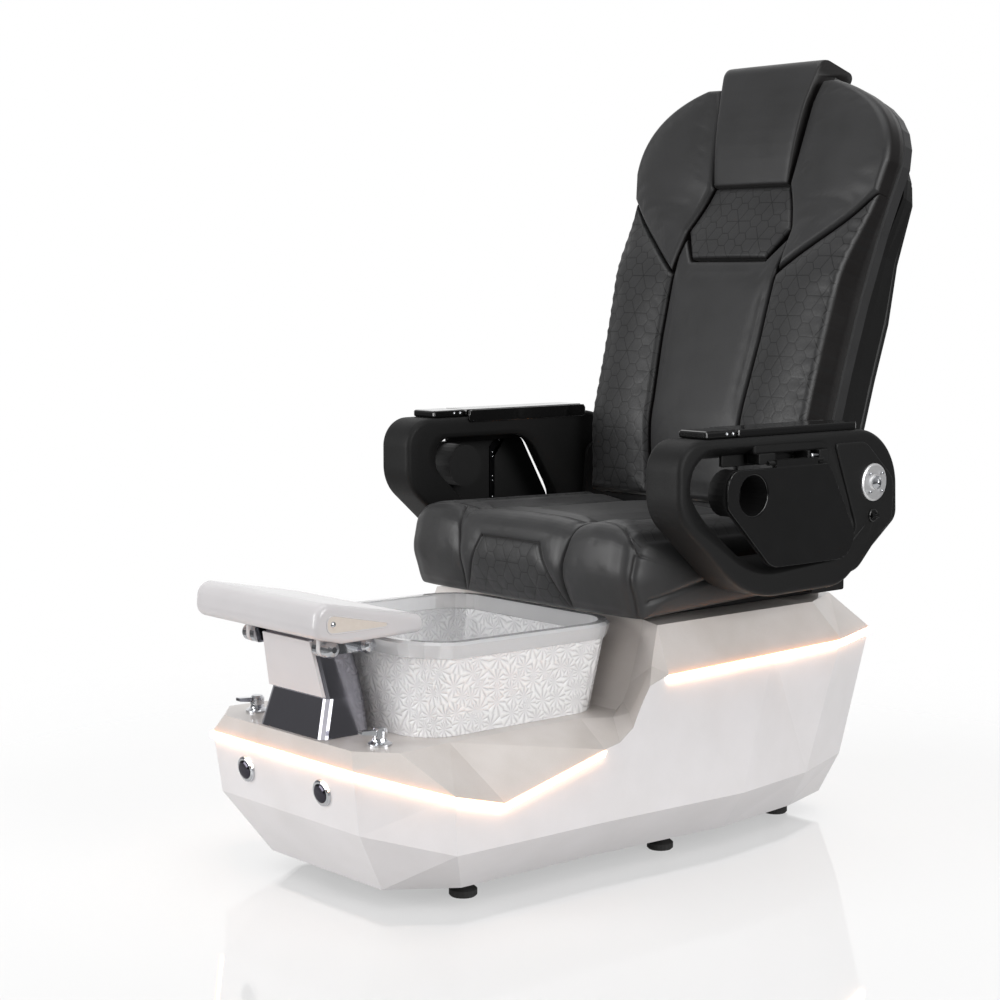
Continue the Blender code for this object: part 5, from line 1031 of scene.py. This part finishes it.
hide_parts("seat_cushion")
print(seat.name, len(seat.data.polygons), "faces")

# %% [markdown]
# Small shapes
# The arms carry many small fittings: plates, turned pins, screws and thin raised lips. All lie in the plane of
# the side, so each is a set of rings: a plate's outline drawn in round its edge, a circle whose
# radius follows a profile, or a small circle carried along an outline.

# %% Plates, turned shapes and lips
def normals(loop):
    """Unit normals of a closed loop in its plane, pointing out: the tangent turned by a right angle."""
    along = np.roll(loop, -1, 0) - np.roll(loop, 1, 0)
    out = np.stack([along[:, 1], -along[:, 0]], -1) / np.linalg.norm(along, axis=1)[:, None]
    return out * np.sign(((loop - loop.mean(0)) * out).sum())


def circle(count):
    """Points (cos a, sin a) at equal steps round the unit circle."""
    angle = np.linspace(0, tau, count, endpoint=False)
    return np.stack([np.cos(angle), np.sin(angle)], -1)


def in_plane(x, loop):
    """Points (x, y, z) of a loop of (y, z) at one x."""
    return np.column_stack([np.full(len(loop), x), loop])


def plate(corners, low, high, edge, middle=None, count=200):
    """Plate from x = low to high over (y, z, radius) corners, its outer edge an arc of radius edge."""
    loop = resample(fillet(corners, 10), count)
    inward = -normals(loop)
    rings = [in_plane(low, loop)]
    for a in np.linspace(0, pi / 2, 6):
        rings.append(in_plane(high - edge * (1 - sin(a)), loop + inward * edge * (1 - cos(a))))
    last = rings[-1][:, 1:]
    centre = last.mean(0) if middle is None else np.array(middle)
    rings += [in_plane(high, centre + (last - centre) * share) for share in (0.97, 0.7, 0.4, 0.1)]
    return np.stack(rings), strip_faces(len(rings), count)


def bar(y0, y1, z0, z1, low, high, radius=0.002, edge=0.0015):
    """Plate with rounded corners between two y and two z."""
    corners = [(y, z, radius) for y, z in ((y0, z0), (y1, z0), (y1, z1), (y0, z1))]
    return plate(corners, low, high, edge, count=80)


def turned(profile, y, z, count=36):
    """Shape turned about a line along X: a circle of radius r at each (x, r) of the profile."""
    rings = [in_plane(x, np.array([y, z]) + r * circle(count)) for x, r in profile]
    return np.stack(rings), strip_faces(len(rings), count)


def dome(x, y, z, radius, height):
    """Screw head: x + height * cos(a) and radius * sin(a), with a falling from 90 degrees to 6."""
    arc = np.radians(np.linspace(90, 6, 7))
    return turned([(x - height, radius)] + [(x + height * cos(a), radius * sin(a)) for a in arc], y, z, 20)


def lip(loop, x, radius, count=10):
    """Raised lip: a circle of one radius carried along a closed loop at one x."""
    out = normals(loop)
    rings = [in_plane(x + radius * sin(a), loop + out * radius * cos(a)) for a in np.linspace(0, tau, count + 1)]
    return np.stack(rings), strip_faces(len(rings), len(loop), False)


def fit(name, shapes, sign, body, slot, material=None):
    """Piece of several shapes, mirrored in X by the sign, in the finish of its slot unless another is given."""
    points, faces, start = [], [], 0
    for rings, ring_faces in shapes:
        points.append(rings.reshape(-1, 3) * [sign, 1, 1])
        faces += [[start + k for k in face] for face in ring_faces]
        start += len(points[-1])
    return add_piece(name, np.concatenate(points), faces, material or finishes[slot], body, slot)


print("shapes for plates, turned parts and lips")

# %% [markdown]
# Arm shells
# An arm is a moulded loop of black plastic with a funnel through it: the opening is small towards the sitter
# and flares outwards, most of all at the rear. The skin is one strip carried round the loop: over the inner
# face, through the funnel, over the outer face and back round the edge. Each ring of the strip mixes
# the outline with the two mouths of the funnel, matched by their angle round one centre.

# %% Arm outlines
ARM_FRONT, ARM_TOP, ARM_LOW = -0.1041, 0.758, 0.477
PIVOT_Y, PIVOT_Z = 0.3899, 0.662
HUB = np.array([0.110, 0.620])
RIM = [
    (ARM_FRONT, ARM_TOP, 0.054), (PIVOT_Y + 0.072, ARM_TOP, 0.108), (PIVOT_Y + 0.078, PIVOT_Z - 0.070, 0.030),
    (PIVOT_Y - 0.075, ARM_LOW + 0.003, 0.090), (ARM_FRONT + 0.175, ARM_LOW, 0.190),
    (ARM_FRONT, PIVOT_Z - 0.031, 0.080),
]
INNER_MOUTH = [
    (ARM_FRONT + 0.070, ARM_TOP - 0.039, 0.035), (PIVOT_Y - 0.188, ARM_TOP - 0.039, 0.080),
    (PIVOT_Y - 0.075, PIVOT_Z - 0.121, 0.040), (ARM_FRONT + 0.199, PIVOT_Z - 0.121, 0.100),
    (ARM_FRONT + 0.070, PIVOT_Z - 0.002, 0.040),
]
OUTER_MOUTH = [
    (ARM_FRONT + 0.014, ARM_TOP - 0.013, 0.072), (PIVOT_Y - 0.118, ARM_TOP - 0.013, 0.040),
    (PIVOT_Y - 0.008, PIVOT_Z - 0.128, 0.060), (ARM_FRONT + 0.190, PIVOT_Z - 0.150, 0.190),
    (ARM_FRONT + 0.014, PIVOT_Z - 0.036, 0.085),
]
rim = resample(fillet(RIM, 24), 400)


def round_hub(loop):
    """Angle of each point of a loop round the hub."""
    return np.arctan2(loop[:, 1] - HUB[1], loop[:, 0] - HUB[0])


def matched(corners):
    """Points of a filleted loop at the angles of the rim round the hub."""
    dense = resample(fillet(corners, 24), 2000)
    angle = round_hub(dense)
    return np.stack([np.interp(round_hub(rim), angle, dense[:, k], period=tau) for k in (0, 1)], -1)


inner, outer = matched(INNER_MOUTH), matched(OUTER_MOUTH)
print("arm outline and 2 mouths of", len(rim), "points")

# %% Arm shells
ARM_IN, ARM_OUT = 0.320, 0.403
EDGE, MOUTH_LIP = 0.010, 0.003
# Shares of the way from the inner to the outer mouth and of the way through the arm.
FUNNEL = [(0.0, 0.03), (0.06, 0.3), (0.2, 0.55), (0.45, 0.78), (0.75, 0.93), (0.94, 1.0), (1.0, 1.0)]
rim_out = normals(rim)
inset = rim - rim_out * EDGE
inner_lip = inner + MOUTH_LIP * normals(inner)
arc = np.linspace(0, pi / 2, 7)[1:]
funnel = chain(FUNNEL, np.linspace(0, 1, 30), 3)
strip = [in_plane(ARM_IN, inset * (1 - k) + inner_lip * k) for k in (0, 0.35, 0.7, 1)]
strip += [in_plane(ARM_IN + (ARM_OUT - ARM_IN) * deep, inner + (outer - inner) * wide) for wide, deep in funnel]
strip += [in_plane(ARM_OUT, outer * (1 - k) + inset * k) for k in (0.3, 0.65, 1)]
strip += [in_plane(ARM_OUT - EDGE * (1 - cos(a)), rim - rim_out * EDGE * (1 - sin(a))) for a in arc]
strip += [in_plane(x, rim) for x in np.linspace(ARM_OUT - EDGE, ARM_IN + EDGE, 5)[1:]]
strip += [in_plane(ARM_IN + EDGE * (1 - sin(a)), rim - rim_out * EDGE * (1 - cos(a))) for a in arc]
shell = np.stack(strip), strip_faces(len(strip), len(rim), False)
for side, sign in SIDES.items():
    arm = fit(f"arm_shell_{side}", [shell], sign, f"arm_{side}", "black_textured_plastic")
    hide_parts(f"arm_body_{side}")
    print(arm.name, len(arm.data.polygons), "faces")

# %% [markdown]
# Arm fittings
# A smooth raised panel covers the pivot end, with a round locking knob whose bow grip is turned by hand. The
# panel bends inwards below the knob, as the moulding does. A bar closes the top of the funnel, and under it
# the tray hangs on hinge blocks with a chromed pin. The pivot disc has a turned boss and four screws. Two
# screws hold the cap, and the lid behind it has a skirt that laps over the inner side of the arm.

# %% Arm fittings
PANEL = [
    (PIVOT_Y - 0.105, ARM_TOP - 0.021, 0.006), (PIVOT_Y - 0.020, ARM_TOP - 0.021, 0.040),
    (PIVOT_Y + 0.061, PIVOT_Z + 0.003, 0.040), (PIVOT_Y + 0.057, PIVOT_Z - 0.070, 0.012),
    (PIVOT_Y - 0.035, PIVOT_Z - 0.158, 0.050), (PIVOT_Y - 0.118, PIVOT_Z - 0.165, 0.005),
    (PIVOT_Y - 0.040, PIVOT_Z - 0.087, 0.035),
]
PANEL_CENTRE = (PIVOT_Y + 0.010, PIVOT_Z - 0.050)
PANEL_LOW, PANEL_FACE, PANEL_EDGE = 0.3995, 0.407, 0.003
PANEL_BEND, BEND_FROM, BEND_RUN = 0.0045, 0.018, 0.022
KNOB_Y, KNOB_Z = PIVOT_Y, PIVOT_Z - 0.060
KNOB = [(0.4055, 0.0118), (0.4095, 0.0118), (0.4105, 0.0108), (0.4108, 0.0085), (0.4104, 0.002)]
GRIP = [(-9, -4.5), (0, -1.8), (9, -4.5), (9, 4.5), (0, 1.8), (-9, 4.5)]
BOSS = [(0.4150, 0.0125), (0.4172, 0.0120), (0.4185, 0.0075), (0.4222, 0.0062), (0.4235, 0.0048), (0.4238, 0.001)]
BOSS_SCREWS = 0.023
CAP_SCREWS = [(0.019, 0.7652), (0.034, 0.7652)]
panel, panel_faces = plate(PANEL, PANEL_LOW, PANEL_FACE, PANEL_EDGE, PANEL_CENTRE, 360)
bend = PANEL_BEND * eased((KNOB_Z - BEND_FROM - panel[..., 2]) / BEND_RUN)
panel[..., 0] -= np.where(panel[..., 0] > PANEL_LOW, bend, 0)
grip = [(KNOB_Y + y * MM, KNOB_Z + z * MM, 0.8 * MM) for y, z in GRIP]
fittings = {
    "arm_panel": ("dark_plastic", [(panel, panel_faces)]),
    "arm_knob": ("gloss_black_plastic", [
        turned(KNOB, KNOB_Y, KNOB_Z), plate(grip, 0.410, 0.4160, 0.0007, count=120),
    ]),
    "arm_top_bar": ("black_textured_plastic", [bar(0.078, 0.287, 0.7275, 0.7530, 0.360, 0.4020, 0.004, 0.004)]),
    "tray_hinge": ("dark_plastic", [
        bar(0.084, 0.126, 0.7105, 0.7290, 0.380, 0.4085), bar(0.030, 0.262, 0.7065, 0.7400, 0.366, 0.372),
        bar(0.205, 0.212, 0.7060, 0.7290, 0.380, 0.4125), bar(0.236, 0.258, 0.7060, 0.7290, 0.380, 0.4125),
    ]),
    "tray_hinge_pin": ("chrome", [
        dome(0.4125, 0.2165, 0.7200, 0.0042, 0.003), bar(0.213, 0.244, 0.7180, 0.7222, 0.404, 0.4105),
    ]),
    "tray_hinge_shim": ("white_gloss_plastic", [bar(0.166, 0.200, 0.7065, 0.7110, 0.396, 0.4095, 0.001, 0.0008)]),
    "pivot_boss": ("chrome", [
        turned(BOSS, PIVOT_Y, PIVOT_Z),
        *[dome(0.4163, PIVOT_Y + BOSS_SCREWS * cos(a), PIVOT_Z + BOSS_SCREWS * sin(a), 0.0028, 0.0012)
          for a in np.radians([45, 135, 225, 315])],
    ]),
    "cap_screws": ("chrome", [dome(0.394, y, z, 0.0032, 0.0022) for y, z in CAP_SCREWS]),
}
# Shapes that face the sitter are drawn at negative x and mirrored.
skirt = bar(0.0464, 0.3570, 0.7470, 0.7715, -0.3197, -0.3157, 0.006, 0.0025)
inner_screws = [dome(-0.329, y, z, 0.0032, 0.0022) for y, z in CAP_SCREWS]
for side, sign in SIDES.items():
    for name, (slot, shapes) in fittings.items():
        fit(f"{name}_{side}", shapes, sign, f"arm_{side}", slot)
    fit(f"lid_skirt_{side}", [skirt], -sign, f"lid_{side}", "gloss_black_plastic")
    fit(f"cap_inner_screws_{side}", inner_screws, -sign, f"arm_{side}", "chrome")
print(len(fittings) + 2, "fittings on each arm")

# %% [markdown]
# Trays
# The side trays are piano black with a thin raised lip round the edge and a double ring round the cup hole,
# which catch the light. Only the show face is polished in the mould: the back and the cup are left matt, so
# the roughness rises behind the face. On the back is a steel strip with bolts, which carries the tray.

# %% Tray lips, rings and straps
TRAY = [
    (-0.0001, 0.704, 0.030), (PIVOT_Y - 0.132, 0.704, 0.014), (PIVOT_Y - 0.061, PIVOT_Z - 0.082, 0.020),
    (PIVOT_Y - 0.069, 0.532, 0.042), (0.1119, 0.532, 0.045), (-0.0001, PIVOT_Z - 0.020, 0.025),
]
TRAY_LIP_X, TRAY_LIP, LIP_INSET = 0.4149, 0.0016, 0.001
CUP = np.array([0.0629, 0.660])
# Radius of each ring, its x and the radius of its section.
CUP_RINGS = (0.0405, 0.4150, 0.0015), (0.0368, 0.4142, 0.0018)
STRAP = [(0.172, 0.577), (0.184, 0.577), (0.184, 0.683), (0.216, 0.708), (0.204, 0.713), (0.172, 0.690)]
BOLTS = [(0.178, 0.586), (0.178, 0.619), (0.178, 0.628), (0.178, 0.668), (0.178, 0.677), (0.196, 0.701)]
STRAP_LOW, STRAP_FACE = -0.4043, -0.4008
BEHIND_FACE, SHOW_FACE = (0.409, 0.62), (0.412, 0.14)
# Piano black on the show face and matt behind it, by the distance from the middle of the chair.
tray_black = hard_finish("gloss_faced_black_abs", "#1e1e1e", "#181818", (0.1, 0.2), 45, 0.08)
tree = tray_black.node_tree
across = node(tree, "SeparateXYZ", [node(tree, "TexCoord", output="Object")], "X")
across = node(tree, "Math", [across], operation="ABSOLUTE")
matt = node(tree, "MapRange", [across, BEHIND_FACE[0], SHOW_FACE[0], BEHIND_FACE[1], SHOW_FACE[1]])
connect(tree.nodes["Principled BSDF"], {"Roughness": matt})
tray_edge = resample(fillet(TRAY, 12), 400)
tray_edge = tray_edge - LIP_INSET * normals(tray_edge)
tray_lip = lip(tray_edge, TRAY_LIP_X, TRAY_LIP)
rings = [lip(CUP + radius * circle(120), x, thick) for radius, x, thick in CUP_RINGS]
strap = plate([(y, z, 0.002) for y, z in STRAP], STRAP_LOW, STRAP_FACE, 0.0006, (0.178, 0.66))
bolts = [dome(STRAP_FACE, y, z, 0.0026, 0.002) for y, z in BOLTS]
for side, sign in SIDES.items():
    body = f"tray_{side}"
    paint(tray_black, body)
    fit(f"tray_lip_{side}", [tray_lip], sign, body, "gloss_black_plastic")
    fit(f"cup_ring_{side}", rings, sign, body, "gloss_black_plastic")
    fit(f"tray_strap_{side}", [strap], -sign, body, "dark_steel")
    fit(f"tray_bolts_{side}", bolts, -sign, body, "chrome")
print("tray lips, cup rings, straps and bolts on 2 trays")

# %% [markdown]
# Footrest
# The footrest is a moulded pad, thick at the front and thin at the heel, with a glossy pearl skin. Its side
# profile is carried across the width, and at both ends it is drawn in round an arc. Each end has a
# beige inlay in the shape of a drop, with a thin rim and a polished screw. Two lugs under it hold the pin.

# %% Footrest pad
PIN_Y, PIN_Z, YOKE_TOP = -0.6061, 0.433, 0.450
HALF_PAD, END_ROUND = 0.175, 0.010
LUG, LUG_X = 0.0145, (0.0958, 0.1056)
PAD_SIDE = [
    (PIN_Y - 0.073, YOKE_TOP + 0.014, 0.022), (PIN_Y - 0.068, YOKE_TOP + 0.073, 0.024),
    (PIN_Y + 0.1465, YOKE_TOP + 0.031, 0.0135), (PIN_Y + 0.1465, YOKE_TOP + 0.003, 0.0135),
    (PIN_Y - 0.016, YOKE_TOP + 0.0008, 0.024),
]
LUG_SIDE = [
    (PIN_Y - LUG, PIN_Z - LUG, LUG - 0.001), (PIN_Y + LUG, PIN_Z - LUG, LUG - 0.001),
    (PIN_Y + LUG, YOKE_TOP + 0.006, 0.002), (PIN_Y - LUG, YOKE_TOP + 0.006, 0.002),
]
DROP = [
    (PIN_Y - 0.050, YOKE_TOP + 0.020, 0.012), (PIN_Y - 0.050, YOKE_TOP + 0.052, 0.012),
    (PIN_Y + 0.105, YOKE_TOP + 0.020, 0.004),
]
pad_side = resample(fillet(PAD_SIDE, 16), 260)
pad_in = -normals(pad_side)
half_rings = [
    (HALF_PAD - END_ROUND * (1 - sin(a)), pad_side + pad_in * END_ROUND * (1 - cos(a)))
    for a in np.linspace(0, pi / 2, 8)
]
rings = [in_plane(-x, loop) for x, loop in half_rings[::-1]]
rings += [in_plane(x, pad_side) for x in np.linspace(-0.15, 0.15, 9)]
rings += [in_plane(x, loop) for x, loop in half_rings]
pad = np.stack(rings), strip_faces(len(rings), len(pad_side))
footrest = fit("footrest_pad_skin", [pad], 1, "footrest", "white_gloss_plastic")
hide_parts("footrest_pad")
# Moulded nylon inlay in a warm beige, slightly mottled.
beige = hard_finish("beige_moulded_nylon", "#e2d9d0", "#d6ccc1", (0.3, 0.45), 8, 0.05)
drop_rim = lip(resample(fillet(DROP, 12), 160), HALF_PAD, 0.0013)
details = (
    ("lug", plate(LUG_SIDE, *LUG_X, 0.001), "white_gloss_plastic", None),
    ("inlay", plate(DROP, HALF_PAD - 0.003, HALF_PAD + 0.0002, 0.0004), "white_gloss_plastic", beige),
    ("inlay_rim", drop_rim, "white_gloss_plastic", None),
    ("screw", dome(HALF_PAD, PIN_Y - 0.038, YOKE_TOP + 0.035, 0.0052, 0.0028), "chrome", None),
)
for side, sign in SIDES.items():
    for name, shape, slot, material in details:
        fit(f"footrest_{name}_{side}", [shape], sign, "footrest", slot, material)
print("footrest pad", len(footrest.data.polygons), "faces, with 2 lugs, inlays and screws")
